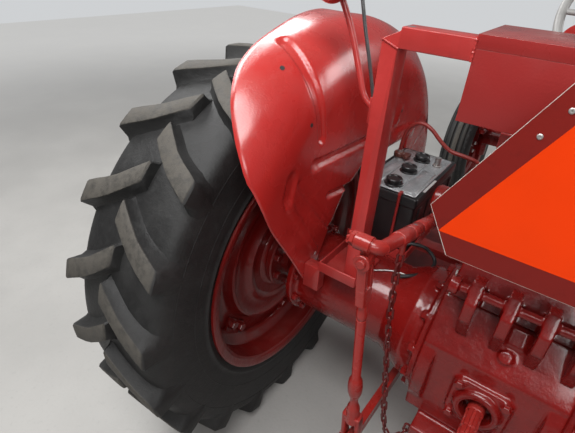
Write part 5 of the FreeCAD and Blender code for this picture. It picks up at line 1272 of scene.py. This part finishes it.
# Hose and pipe over the left trumpet
HOSE = [(0.050, 0.322, 0.756), (0.066, 0.300, 0.768), (0.080, 0.2670, 0.766), (0.085, 0.2476, 0.755),
        (0.080, 0.2320, 0.7455), (0.065, 0.2232, 0.7390), (0.045, 0.2234, 0.7345), (0.020, 0.2300, 0.7325),
        (0.000, 0.2390, 0.7335), (-0.020, 0.2570, 0.7325), (-0.034, 0.2800, 0.7270)]
PIPE = [(-0.020, 0.177, 0.7375), (-0.015, 0.200, 0.7345), (-0.012, 0.240, 0.7265), (-0.020, 0.300, 0.7250),
        (-0.045, 0.345, 0.7200), (-0.062, 0.372, 0.7120)]


def hose():
    """The short formed hose and the thin pipe, both held to the left trumpet."""
    rubber = Shape().pipe(curve_through(HOSE, 10), 0.0050, 16)
    part(rubber, "formed_hose", "chassis", "cable_black", "rubber hose")
    steel = Shape().pipe(curve_through(PIPE, 10), 0.0021, 10)
    part(steel, "thin_pipe", "chassis", "bright_steel", "bright steel")


# Lift linkage

SHAFT = (0.070, CENTRE_TOP + 0.125)
ARM_Y = 0.240
LINK_Y = 0.220
# Middle line of the chain from the arm to the hitch
CHAIN = [(-0.2, 0.240, 0.912), (-0.2, 0.240, 0.858), (-0.2, 0.232, 0.750), (-0.2, 0.218, 0.640),
         (-0.2, 0.196, 0.500), (-0.2, 0.178, 0.392), (-0.2, 0.156, 0.348), (-0.2, 0.132, 0.376),
         (-0.2, 0.120, 0.420), (-0.2, 0.120, 0.450)]
# The left arm as seen: its tube starts low on the hub, rises to the elbow and turns outwards into the barrel
ARM_START = Vector((0.062, ARM_Y, 0.896))
ARM_BEND = Vector((-0.045, ARM_Y, 0.916))
ELBOW = Vector((-0.333, ARM_Y, 1.0005))
BARREL_RADIUS = 0.0165
BARREL_SPAN = (0.2545, 0.2875)
ARM_TUBE = 0.0135
# Sleeves of the arm, from the elbow back: radius, distance
SLEEVES = [(0.0135, 0.012), (0.0135, 0.086), (0.0145, 0.089), (0.0160, 0.090), (0.0166, 0.092),
           (0.0166, 0.154), (0.0160, 0.156), (0.0153, 0.1565), (0.0153, 0.1595), (0.0160, 0.160),
           (0.0164, 0.162), (0.0164, 0.2165), (0.0155, 0.218), (0.0138, 0.2185), (0.0138, 0.2205),
           (0.0160, 0.221), (0.0168, 0.223), (0.0168, 0.317), (0.0155, 0.319), (0.0150, 0.322),
           (0.0150, 0.345)]
ARM_HUB = [(0.031, 0), (0.036, 0.004), (0.036, 0.094), (0.031, 0.1)]
ELBOW_ROUND = 0.020
BOLT = Vector((-0.333, 0.2605, 0.970))
# Head and tail of that bolt: radius, distance
BOLT_HEAD = [(0.0162, 0), (0.0166, 0.0006), (0.0166, 0.0036), (0.0158, 0.0046), (0.0105, 0.0048),
             (0.0092, 0.0044), (0.0090, 0.0046), (0.0090, 0.0078), (0.0078, 0.0090)]
BOLT_TAIL = [(0.0088, 0), (0.0088, 0.010), (0.0075, 0.011)]
ROD_FOOT = Vector((-0.310, LINK_Y, CENTRE_TOP - 0.385))
# Lift rod from the fork block down: radius, distance from the bolt
ROD_STEPS = [(0.0096, 0.100), (0.0098, 0.122), (0.0113, 0.126), (0.0115, 0.140), (0.0100, 0.147),
             (0.0088, 0.1485), (0.0088, 0.1505), (0.0104, 0.151), (0.0104, 0.324), (0.0128, 0.328),
             (0.0152, 0.335), (0.0166, 0.346), (0.0170, 0.358), (0.0160, 0.374), (0.0130, 0.386),
             (0.0102, 0.394), (0.0094, 0.400), (0.0094, 0.412), (0.0120, 0.420), (0.0148, 0.430),
             (0.0155, 0.434), (0.0155, 0.452), (0.0170, 0.462), (0.0170, 0.480)]


def castle_nut(shape, start, direction, size):
    """A slotted nut: a hexagon with a round crown, and slots shown by six teeth."""
    start, direction = Vector(start), Vector(direction).normalized()
    flats = size / math.sqrt(3)
    body = [(0.86 * flats, 0), (flats, 0.0015), (flats, 0.0085), (0.88 * flats, 0.010)]
    shape.along(start, start + direction, body, 6)
    shape.along(start, start + direction, [(0.55 * flats, 0.0095), (0.55 * flats, 0.0135)], 20)
    facing = direction.to_track_quat("Z", "Y").to_matrix()
    for n in range(6):
        a = math.pi * (n + 0.5) / 3
        tooth = start + facing @ Vector((0.66 * flats * math.cos(a), 0.66 * flats * math.sin(a), 0.0095))
        peg = [(0.26 * flats, 0), (0.26 * flats, 0.0045), (0.18 * flats, 0.0055)]
        shape.along(tooth, tooth + direction, peg, 8)
    return shape


def arm():
    """One arm: hub, bent tube with sleeves, elbow, barrel with its lug, castle nut and cotter."""
    shape = Shape()
    sx, sz = SHAFT
    shape.along((sx, 0.170, sz), (sx, 0.3, sz), ARM_HUB, 40)
    back = (ARM_START - ARM_BEND).normalized()
    bend = [ARM_BEND + back * 0.03, ARM_BEND, ARM_BEND + (ELBOW - ARM_BEND) * 0.1]
    shape.pipe([ARM_START] + curve_through(bend, 8) + [ARM_BEND.lerp(ELBOW, 0.2)], 0.0150, 32)
    shape.along(ELBOW, ARM_BEND, SLEEVES, 40)
    inwards = (ARM_BEND - ELBOW).normalized()
    outwards = Vector((0, 1, 0))
    turn = []
    for k in range(11):
        a = math.radians(9 * k)
        turn.append(ELBOW + inwards * ELBOW_ROUND * (1 - math.sin(a))
                    + outwards * ELBOW_ROUND * (1 - math.cos(a)))
    shape.pipe([ELBOW + inwards * 0.045] + turn + [ELBOW + outwards * 0.0135], ARM_TUBE, 32)
    inner, outer = BARREL_SPAN
    shape.along(ELBOW + outwards * (inner - ARM_Y - 0.0015), ELBOW + outwards,
                [(0.0150, 0), (0.0150, 0.0012), (0.0130, 0.0014), (0.0130, 0.0022)], 32)
    shape.along(ELBOW + outwards * (inner - ARM_Y), ELBOW + outwards,
                [(BARREL_RADIUS - 0.002, 0), (BARREL_RADIUS, 0.0015), (BARREL_RADIUS, outer - inner - 0.0015),
                 (BARREL_RADIUS - 0.002, outer - inner)], 40)
    end = ELBOW + outwards * (outer - ARM_Y)
    castle_nut(shape, end, outwards, 0.025)
    shape.pipe([end + Vector((-0.013, 0.0115, 0.004)), end + Vector((0.014, 0.0115, -0.004))], 0.0013, 8)
    x, y, z = BOLT
    lug = [(y - 0.0105, z - 0.012), (y - 0.004, z - 0.0155), (y + 0.004, z - 0.0155), (y + 0.0105, z - 0.012),
           (y + 0.0125, ELBOW.z - 0.010), (y - 0.0125, ELBOW.z - 0.010)]
    shape.slab(lug, "X", x - 0.0048, x + 0.0048)
    return shape


def lift_arms():
    """Rock shaft, both arms and the bar that the chain hangs from."""
    sx, sz = SHAFT
    shape = Shape().rod((sx, -ARM_Y - 0.024, sz), (sx, ARM_Y + 0.024, sz), 0.022, 40, 0.002)
    for _, side in SIDES:
        one = arm().mirrored(side)
        shape.add(one.points, one.faces)
    top = ELBOW.z - 0.012 - (CHAIN[0][0] - ELBOW.x) * 0.28
    shape.pipe([(CHAIN[0][0], ARM_Y, top), (CHAIN[0][0], ARM_Y, CHAIN[0][2] + 0.004)], 0.0062, 16)
    return part(shape, "arm_tubes", "lift_arms", "frame_red", "link red", 0.0, "lift_arms")


def bar_round(shape, centre, facing, near, far, across, ahead, corner=0.0025):
    """A bar with round corners along facing's Z. Near and far, across and ahead are measured from centre."""
    rings = []
    for distance, inset in ((near, 0.0015), (near + 0.0015, 0.0), (far - 0.0015, 0.0), (far, 0.0015)):
        low = (ahead[0] + inset, across[0] + inset)
        high = (ahead[1] - inset, across[1] - inset)
        plan = rounded_plan(low, high, corner, 3)
        rings.append([centre + facing @ Vector((u, v, distance)) for u, v in plan])
    return shape.rings(rings)


def upright_facing(down):
    """Axes with Z along the rod and X as near to fore and aft as it allows."""
    ahead = (Vector((1, 0, 0)) - down * down.x).normalized()
    across = down.cross(ahead)
    return Matrix((ahead, across, down)).transposed()


def lift_rod(side_name, side):
    """The forked block on its bolt, the neck, the long rod, the knuckle and the lower fork."""
    down = (ROD_FOOT - BOLT).normalized()
    full = (ROD_FOOT - BOLT).length
    facing = upright_facing(down)
    shape = Shape()
    for low, high in ((-0.0175, -0.0060), (0.0060, 0.0165)):
        near = Vector((low, 0, 0))
        shape.along(BOLT + near, BOLT + near + Vector((1, 0, 0)), [(0.0095, 0), (0.0098, high - low)], 24)
        bar_round(shape, BOLT, facing, 0.0, 0.072, (-0.0096, 0.0096), (low, high), 0.0015)
    bar_round(shape, BOLT, facing, 0.066, 0.106, (-0.0098, 0.0098), (-0.0178, 0.0168), 0.003)
    forward = Vector((1, 0, 0))
    shape.along(BOLT - Vector((0.0175, 0, 0)), BOLT - forward, BOLT_HEAD, 40)
    shape.along(BOLT + Vector((0.0165, 0, 0)), BOLT + forward, BOLT_TAIL, 24)
    shape.along(BOLT, ROD_FOOT, ROD_STEPS, 36)
    for low, high in ((-0.0225, -0.0115), (0.0115, 0.0225)):
        bar_round(shape, BOLT, facing, 0.462, full + 0.004, (low, high), (-0.0135, 0.0135), 0.004)
        shape.along(ROD_FOOT + facing @ Vector((0, low, 0)), ROD_FOOT + facing @ Vector((0, high, 0)),
                    [(0.0180, 0), (0.0195, 0.0012), (0.0195, 0.0098), (0.0180, 0.011)], 32)
    bar_round(shape, BOLT, facing, 0.456, 0.480, (-0.0225, 0.0225), (-0.0135, 0.0135), 0.005)
    shape.rod(ROD_FOOT - Vector((0, 0.029, 0)), ROD_FOOT + Vector((0, 0.029, 0)), 0.0098, 24, 0.0015)
    name = "lift_rod_" + side_name
    return part(shape.mirrored(side), "rod_" + side_name, name, "frame_red", "link red", 0.0, name)


def linkage():
    lift_arms()
    for side_name, side in SIDES:
        lift_rod(side_name, side)
        soften("lower_link_" + side_name, "frame_red", "link red", 0.002)


# Chain

def spaced(line, pitch):
    """Points a pitch apart along a line."""
    places, walked, due = [], 0.0, 0.0
    for a, b in zip(line, line[1:]):
        step = (b - a).length
        while due <= walked + step:
            places.append(a.lerp(b, (due - walked) / step))
            due += pitch
        walked += step
    return places


def chain():
    """Welded links, each turned across the one before."""
    sizes = bpy.context.scene.tractor_sizes
    pitch, wire = sizes.chain_pitch, sizes.chain_wire / 2
    places = spaced(curve_through(CHAIN, 24), pitch)
    shape = Shape()
    for n, (here, after) in enumerate(zip(places, places[1:])):
        ahead = (after - here).normalized()
        across = Vector((1, 0, 0)) if n % 2 else ahead.cross(Vector((1, 0, 0))).normalized()
        across = (across + 0.25 * math.sin(n * 1.7) * ahead.cross(across)).normalized()
        half = pitch / 2 + wire - 0.0006
        wide = wire * 1.95
        middle = (here + after) / 2
        route = []
        for a in round_angles(20):
            reach = math.copysign(half - wide, math.cos(a)) + wide * math.cos(a)
            route.append(middle + ahead * reach + across * wide * math.sin(a))
        shape.pipe(route, wire, 8, True)
    piece = shape.build("chain_links", weld=0)
    piece.data.materials.append(finish("chain red"))
    shift = Vector((AXLE_X, 0, 0))
    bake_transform(piece, "lift_arms", "chassis", Vector(CHAIN[0]) + shift, Vector(CHAIN[5]) + shift)
    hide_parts("chain")


# Cables

# Routes of the two leads, as the solids have them
BATTERY_CABLE = [(0.300, 0.466, 0.926), (0.300, 0.465, 0.965), (0.300, 0.452, 1.005), (0.300, 0.420, 1.026),
                 (0.300, 0.385, 1.014), (0.300, 0.352, 0.984), (0.300, 0.318, 0.962), (0.302, 0.275, 0.960),
                 (0.306, 0.232, 0.952), (0.318, 0.208, 0.915), (0.330, 0.200, 0.862), (0.342, 0.192, 0.805),
                 (0.352, 0.172, 0.760), (0.360, 0.140, 0.741)]
LAMP_CABLE = [(-0.066, 0.394, 1.085), (-0.063, 0.404, 1.120), (-0.056, 0.422, 1.160), (-0.050, 0.440, 1.210),
              (-0.046, 0.458, 1.260), (-0.036, 0.478, 1.302), (-0.022, 0.496, 1.338), (-0.014, 0.508, 1.364),
              (-0.020, 0.514, 1.388), (-0.040, 0.516, 1.400), (-0.065, 0.516, 1.400)]


def cable(name, route, diameter, slot, material, node):
    """A cable on one smooth spline that follows its route."""
    line = bpy.data.curves.new(name, "CURVE")
    line.dimensions, line.bevel_depth, line.bevel_resolution = "3D", diameter / 2, 5
    spline = line.splines.new("NURBS")
    spline.points.add(len(route) - 1)
    for point, (x, y, z) in zip(spline.points, route):
        point.co = (x + AXLE_X, y, z, 1)
    spline.order_u, spline.use_endpoint_u, spline.resolution_u = 3, True, 10
    piece = bpy.data.objects.new(name, line)
    bpy.context.scene.collection.objects.link(piece)
    dress(piece, "chassis", slot, finish(material), node)
    x, y, z = route[0]
    return piece


# Clamp round the battery's post: radius, height over the lid
CLAMP_FACE = [(0.0092, 0.004), (0.016, 0.004), (0.0175, 0.007), (0.0175, 0.016), (0.015, 0.019),
              (0.0092, 0.019)]


def cables():
    """Both leads, and the clamp that holds one to the battery's post."""
    cable("battery_lead", BATTERY_CABLE, 0.012, "cable_red", "cable red", "battery_cable")
    cable("lamp_lead", LAMP_CABLE, 0.008, "cable_black", "cable black", "lamp_cable")
    clamp = Shape()
    x, y = TERMINALS[0]
    z = BATTERY[1][2]
    clamp.turned(CLAMP_FACE, (x, y, z), "Z", 28)
    clamp.block((x - 0.011, y - 0.034, z + 0.006), (x + 0.011, y - 0.012, z + 0.016))
    clamp.hexagon((x - 0.012, y - 0.026, z + 0.011), (-1, 0, 0), 0.012, 0.008)
    part(clamp, "battery_clamp", "chassis", "cable_red", "clamp brown", 0.0008)


# Lamps, engine, sheet metal, steering and seat

def lamps():
    soften("work_lamp", "frame_red", "frame red", 0.001)
    soften("headlamps", "lamp_metal", "sheet red", 0.0015)


def engine():
    for node, bevel in (("engine_block", 0.004), ("cylinder_head", 0.004), ("manifold", 0.002),
                        ("engine_fittings", 0.002), ("fan", 0.0015)):
        soften(node, "cast_red", "cast red", bevel)
    soften("exhaust", "dark_steel", "exhaust steel", 0.002)
    soften("radiator", "radiator_black", "radiator black", 0.003)


def bonnet():
    for node, bevel in (("bonnet", 0.001), ("nose", 0.001), ("dash_panel", 0.002), ("grille", 0.001)):
        soften(node, "sheet_red", "sheet red", bevel)


def steering():
    soften("steering_column", "dark_steel", "dark steel", 0.002)
    soften("steering_wheel", "wheel_grey", "wheel grey", 0.0005)
    soften("front_axle", "cast_red", "cast red", 0.003)
    soften("centre_arm", "cast_red", "cast red", 0.002)
    for side_name, _ in SIDES:
        soften("knuckle_" + side_name, "cast_red", "cast red", 0.002)
        soften("tie_rod_" + side_name, "cast_red", "cast red", 0.0015)


CUSHION_ROWS = 28


def seat():
    """Pan, bent leaf and the crowned cushion with its two sewn channels."""
    soften("seat_bracket", "dark_steel", "dark steel", 0.001)
    soften("seat_pan", "sheet_red", "sheet red", 0.0015)
    low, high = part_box("seat_cushion")
    rows = columns = CUSHION_ROWS
    shape = Shape()
    centre = [(a + b) / 2 for a, b in zip(low, high)]
    half = [(b - a) / 2 for a, b in zip(low, high)]
    points = []
    for part_of in (1, -1):
        for i in range(rows + 1):
            for j in range(columns + 1):
                u, v = 2 * i / rows - 1, 2 * j / columns - 1
                x = centre[0] - AXLE_X + half[0] * u * (1 - 0.05 * v ** 4)
                y = centre[1] + half[1] * v * (1 - 0.05 * u ** 4)
                edge = max(0.0, 1 - u ** 6) * max(0.0, 1 - v ** 6)
                swell = half[2] * edge ** 0.35
                if part_of > 0:
                    swell *= 1 - 0.12 * math.exp(-((abs(v) - 0.34) / 0.035) ** 2)
                points.append((x, y, centre[2] + part_of * swell))
    count = (rows + 1) * (columns + 1)
    faces = []
    for base, flip in ((0, False), (count, True)):
        for i in range(rows):
            for j in range(columns):
                a = base + i * (columns + 1) + j
                face = [a, a + columns + 1, a + columns + 2, a + 1]
                faces.append(face[::-1] if flip else face)
    shape.add(points, faces)
    piece = shape.build("cushion", weld=0.0005)
    dress(piece, "chassis", "seat_vinyl", finish("seat black"), "seat_cushion")


def platforms():
    soften("platforms", "frame_red", "frame red", 0.001)
    soften("controls", "dark_steel", "dark steel", 0.002)


# Studio

# The camera's place, and its right, up and backward directions
CAMERA_PLACE = (-0.931, 0.029, 1.437)
CAMERA_AXES = ((0.59551616, -0.80118403, 0.05886127), (0.39570328, 0.35631048, 0.84644064),
               (-0.69912761, -0.48077748, 0.5292198))
LENS = 26.89
# Distances over which a painted glow, seen only by the camera, pales the floor towards the horizon, and the
# glow's colour there
FAR_START = 1.6
FAR_END = 7.5
FAR_FLOOR_GLOW = (0.46, 0.46, 0.455)
BACKDROP = (0.62, 0.635, 0.65)


def light_room(tree, strength):
    """A pale backdrop where the camera sees the room, and a cool even light from it elsewhere."""
    room = tree.nodes["Background"]
    room.inputs["Color"].default_value = (0.92, 0.93, 0.95, 1)
    room.inputs["Strength"].default_value = strength
    wall = tree.nodes.new("ShaderNodeBackground")
    wall.inputs["Color"].default_value = (*BACKDROP, 1)
    seen = tree.nodes.new("ShaderNodeLightPath")
    mix = tree.nodes.new("ShaderNodeMixShader")
    tree.links.new(seen.outputs["Is Camera Ray"], mix.inputs[0])
    tree.links.new(room.outputs[0], mix.inputs[1])
    tree.links.new(wall.outputs[0], mix.inputs[2])
    tree.links.new(mix.outputs[0], tree.nodes["World Output"].inputs["Surface"])


def studio():
    """Pale floor, plain light and the camera at the photograph's angle."""
    scene = bpy.context.scene
    light = scene.tractor_light
    floor = Shape().add([(-9, -9, 0), (9, -9, 0), (9, 9, 0), (-9, 9, 0)], [(0, 1, 2, 3)]).build("floor")
    ground = Finish("pale floor", specular=0.3)
    shade = ground.noise(1.4, 6, 0.6).above(0.3, 0.75)
    specks = ground.noise(60, 4, 0.6).above(0.55, 0.75) * 0.3
    pale = tuple(light.floor)
    cloudy = ground.blend(shade, tinted(pale, 0.86), pale)
    ground.set("Base Color", ground.blend(specks, cloudy, tinted(pale, 0.7)))
    ground.set("Roughness", 0.55 + 0.2 * shade)
    ground.set("Normal", ground.relief(ground.noise(90, 4), 0.0006))
    # Painted light: the far floor glows for the camera alone, a brightness that no lamp gives.
    x, y, _ = ground.xyz()
    seen = ground.add("ShaderNodeLightPath", {}, {}, "Is Camera Ray")
    far = (x * x + y * y).root().above(FAR_START, FAR_END) * seen
    ground.set("Emission Color", ground.blend(far, (0.0, 0.0, 0.0), FAR_FLOOR_GLOW))
    ground.set("Emission Strength", 1.0)
    floor.data.materials.append(ground.material)
    camera = bpy.data.objects.new("camera", bpy.data.cameras.new("camera"))
    camera.data.sensor_width, camera.data.sensor_fit, camera.data.lens = 36.0, "HORIZONTAL", LENS
    camera.data.clip_start = 0.05
    x, y, z = CAMERA_PLACE
    camera.matrix_world = Matrix.Translation((x + AXLE_X, y, z)) @ Matrix(CAMERA_AXES).transposed().to_4x4()
    scene.collection.objects.link(camera)
    scene.camera = camera
    for name, place, target, size, power in LAMPS:
        lamp = bpy.data.objects.new(name, bpy.data.lights.new(name, "AREA"))
        lamp.data.shape, lamp.data.size, lamp.data.size_y = "RECTANGLE", *size
        lamp.data.energy = power * light.lamps
        place, target = Vector(place), Vector(target)
        lamp.matrix_world = (Matrix.Translation(place + Vector((AXLE_X, 0, 0)))
                             @ (place - target).to_track_quat("Z", "Y").to_matrix().to_4x4())
        scene.collection.objects.link(lamp)
    sky = bpy.data.worlds.new("pale room")
    scene.world = sky
    sky.use_nodes = True
    light_room(sky.node_tree, light.sky)
    scene.view_settings.view_transform = "Standard"


# Lamps: name, place, target, size, power
LAMPS = [("long lamp over the rear", (-1.2, 0.6, 2.9), (0.0, 0.4, 0.7), (2.4, 0.8), 78),
         ("long lamp over the side", (0.8, 2.6, 2.8), (0.1, 0.4, 0.8), (3.0, 0.8), 85),
         ("soft lamp behind", (-3.0, -1.6, 2.6), (0.0, 0.2, 0.8), (2.4, 0.8), 48),
         ("soft lamp at the front", (3.4, -2.6, 3.0), (0.9, 0.0, 0.6), (3.0, 1.6), 95)]


# What a user can change

def colour(name, description, value):
    return bpy.props.FloatVectorProperty(name=name, description=description, default=value, subtype="COLOR",
                                         size=3, min=0, max=1)


class TractorColours(bpy.types.PropertyGroup):
    """Colours of the finishes."""
    sheet: colour("Fenders and bonnet", "Enamel on the pressed sheet", (0.42, 0.020, 0.017))
    casting: colour("Castings", "Thick paint on the cast housings", (0.19, 0.006, 0.005))
    frame: colour("Rear frame", "Paint on the posts and trays", (0.38, 0.028, 0.025))
    link: colour("Linkage", "Paint on the arms, rods and links", (0.30, 0.018, 0.014))
    rim: colour("Rims", "Paint on the wheels", (0.16, 0.006, 0.005))
    box: colour("Tool box", "Duller paint on the tool box", (0.30, 0.020, 0.018))
    triangle: colour("Warning triangle", "Fluorescent middle of the rear plate", (0.84, 0.045, 0.0))
    border: colour("Warning border", "Dull border of the rear plate", (0.17, 0.010, 0.007))
    battery_lid: colour("Battery lid", "Pale lid of the battery", (0.34, 0.36, 0.37))
    gloss: bpy.props.FloatProperty(name="Sheet roughness", description="Roughness of the fenders' enamel",
                                   default=0.2, min=0.05, max=0.8, subtype="FACTOR")


class TractorSizes(bpy.types.PropertyGroup):
    """Sizes of small parts."""
    chain_pitch: bpy.props.FloatProperty(name="Chain pitch", description="Length between the chain's links",
                                         default=0.025, min=0.015, max=0.05, unit="LENGTH")
    chain_wire: bpy.props.FloatProperty(name="Chain wire", description="Thickness of the chain's wire",
                                        default=0.0062, min=0.003, max=0.01, unit="LENGTH")


class TractorLight(bpy.types.PropertyGroup):
    """Light and floor of the studio."""
    lamps: bpy.props.FloatProperty(name="Lamps", description="Share of the lamps' power",
                                   default=0.88, min=0, max=5)
    sky: bpy.props.FloatProperty(name="Sky", description="Strength of the even light",
                                 default=0.20, min=0, max=3)
    floor: colour("Floor", "Colour of the pale floor", (0.46, 0.45, 0.43))


# Pieces, each an operator

class TRACTOR_OT_rear_wheels(bpy.types.Operator):
    """Rear tyres with their worn lugs, and the rims"""
    bl_idname = "tractor.rear_wheels"
    bl_label = "Rear wheels"

    def execute(self, context):
        rubber = tyre_rubber("rear rubber", Vector((0, 0, REAR_RADIUS)), REAR_RADIUS)
        for side_name, side in SIDES:
            rear_tyre(side_name, side, rubber)
            rear_wheel(side_name, side, finish("rim red"))
        return {"FINISHED"}


class TRACTOR_OT_front_wheels(bpy.types.Operator):
    """Ribbed front tyres and their rims"""
    bl_idname = "tractor.front_wheels"
    bl_label = "Front wheels"

    def execute(self, context):
        rubber = tyre_rubber("front rubber", FRONT_HUB, FRONT_HUB.z)
        for side_name, side in SIDES:
            front_wheel(side_name, side, rubber, finish("rim red"))
        return {"FINISHED"}


class TRACTOR_OT_fenders(bpy.types.Operator):
    """Pressed fenders with their ribs and grooves"""
    bl_idname = "tractor.fenders"
    bl_label = "Fenders"

    def execute(self, context):
        for side_name, side in SIDES:
            fender(side_name, side, finish("sheet red"), finish("radiator black"))
        return {"FINISHED"}


class TRACTOR_OT_castings(bpy.types.Operator):
    """Axle housing, lift cover, gearbox and front casting, with their bolts"""
    bl_idname = "tractor.castings"
    bl_label = "Castings"

    def execute(self, context):
        castings()
        return {"FINISHED"}


class TRACTOR_OT_power_shaft(bpy.types.Operator):
    """The splined stub at the rear"""
    bl_idname = "tractor.power_shaft"
    bl_label = "Power shaft"

    def execute(self, context):
        power_shaft()
        return {"FINISHED"}


class TRACTOR_OT_rear_frame(bpy.types.Operator):
    """Posts and trays with their welds"""
    bl_idname = "tractor.rear_frame"
    bl_label = "Rear frame"

    def execute(self, context):
        rear_frame()
        return {"FINISHED"}


class TRACTOR_OT_tool_box(bpy.types.Operator):
    """Tool box and its lid"""
    bl_idname = "tractor.tool_box"
    bl_label = "Tool box"

    def execute(self, context):
        tool_box()
        return {"FINISHED"}


class TRACTOR_OT_warning_plate(bpy.types.Operator):
    """The orange triangle with its border"""
    bl_idname = "tractor.warning_plate"
    bl_label = "Warning plate"

    def execute(self, context):
        warning_plate()
        return {"FINISHED"}


class TRACTOR_OT_battery(bpy.types.Operator):
    """Battery, caps, posts and tray"""
    bl_idname = "tractor.battery"
    bl_label = "Battery"

    def execute(self, context):
        battery()
        return {"FINISHED"}


class TRACTOR_OT_linkage(bpy.types.Operator):
    """Lift arms, rods and lower links"""
    bl_idname = "tractor.linkage"
    bl_label = "Lift linkage"

    def execute(self, context):
        linkage()
        return {"FINISHED"}


class TRACTOR_OT_chain(bpy.types.Operator):
    """Chain from the arm to the hitch"""
    bl_idname = "tractor.chain"
    bl_label = "Chain"

    def execute(self, context):
        chain()
        return {"FINISHED"}


class TRACTOR_OT_cables(bpy.types.Operator):
    """Battery and lamp cables, hose and thin pipe"""
    bl_idname = "tractor.cables"
    bl_label = "Cables"

    def execute(self, context):
        cables()
        hose()
        return {"FINISHED"}


class TRACTOR_OT_lamps(bpy.types.Operator):
    """Headlamps and the work lamp"""
    bl_idname = "tractor.lamps"
    bl_label = "Lamps"

    def execute(self, context):
        lamps()
        return {"FINISHED"}


class TRACTOR_OT_engine(bpy.types.Operator):
    """Engine, exhaust, fan and radiator"""
    bl_idname = "tractor.engine"
    bl_label = "Engine"

    def execute(self, context):
        engine()
        return {"FINISHED"}


class TRACTOR_OT_bonnet(bpy.types.Operator):
    """Bonnet, nose, grille and dash"""
    bl_idname = "tractor.bonnet"
    bl_label = "Bonnet"

    def execute(self, context):
        bonnet()
        return {"FINISHED"}


class TRACTOR_OT_steering(bpy.types.Operator):
    """Wheel, column, axle and rods"""
    bl_idname = "tractor.steering"
    bl_label = "Steering"

    def execute(self, context):
        steering()
        return {"FINISHED"}


class TRACTOR_OT_seat(bpy.types.Operator):
    """Pan, leaf and cushion"""
    bl_idname = "tractor.seat"
    bl_label = "Seat"

    def execute(self, context):
        seat()
        return {"FINISHED"}


class TRACTOR_OT_platforms(bpy.types.Operator):
    """Foot plates and pedals"""
    bl_idname = "tractor.platforms"
    bl_label = "Platforms"

    def execute(self, context):
        platforms()
        return {"FINISHED"}


class TRACTOR_OT_studio(bpy.types.Operator):
    """Floor, lamps and camera"""
    bl_idname = "tractor.studio"
    bl_label = "Studio"

    def execute(self, context):
        studio()
        return {"FINISHED"}


class VIEW3D_PT_tractor(bpy.types.Panel):
    """Lists the pieces and what can be changed"""
    bl_label = "Farm tractor"
    bl_space_type = "VIEW_3D"
    bl_region_type = "UI"
    bl_category = "Tractor"

    def draw(self, context):
        for group in [getattr(context.scene, name) for name in SETTINGS]:
            box = self.layout.box()
            for name in group.__annotations__:
                box.prop(group, name)
        for operator in OPERATORS:
            self.layout.operator(operator.bl_idname)


OPERATORS = [TRACTOR_OT_rear_wheels, TRACTOR_OT_front_wheels, TRACTOR_OT_fenders, TRACTOR_OT_castings,
             TRACTOR_OT_power_shaft, TRACTOR_OT_rear_frame, TRACTOR_OT_tool_box, TRACTOR_OT_warning_plate,
             TRACTOR_OT_battery, TRACTOR_OT_linkage, TRACTOR_OT_chain, TRACTOR_OT_cables, TRACTOR_OT_lamps,
             TRACTOR_OT_engine, TRACTOR_OT_bonnet, TRACTOR_OT_steering, TRACTOR_OT_seat, TRACTOR_OT_platforms,
             TRACTOR_OT_studio]
SETTINGS = {"tractor_colours": TractorColours, "tractor_sizes": TractorSizes, "tractor_light": TractorLight}


CLASSES = [*SETTINGS.values(), *OPERATORS, VIEW3D_PT_tractor]


def register():
    for kind in CLASSES:
        bpy.utils.register_class(kind)
    for name, kind in SETTINGS.items():
        setattr(bpy.types.Scene, name, bpy.props.PointerProperty(type=kind))


def unregister():
    for name in SETTINGS:
        delattr(bpy.types.Scene, name)
    for kind in reversed(CLASSES):
        bpy.utils.unregister_class(kind)


def main():
    register()
    for operator in OPERATORS:
        getattr(bpy.ops.tractor, operator.bl_idname.split(".")[1])()


if __name__ == "__main__":
    main()
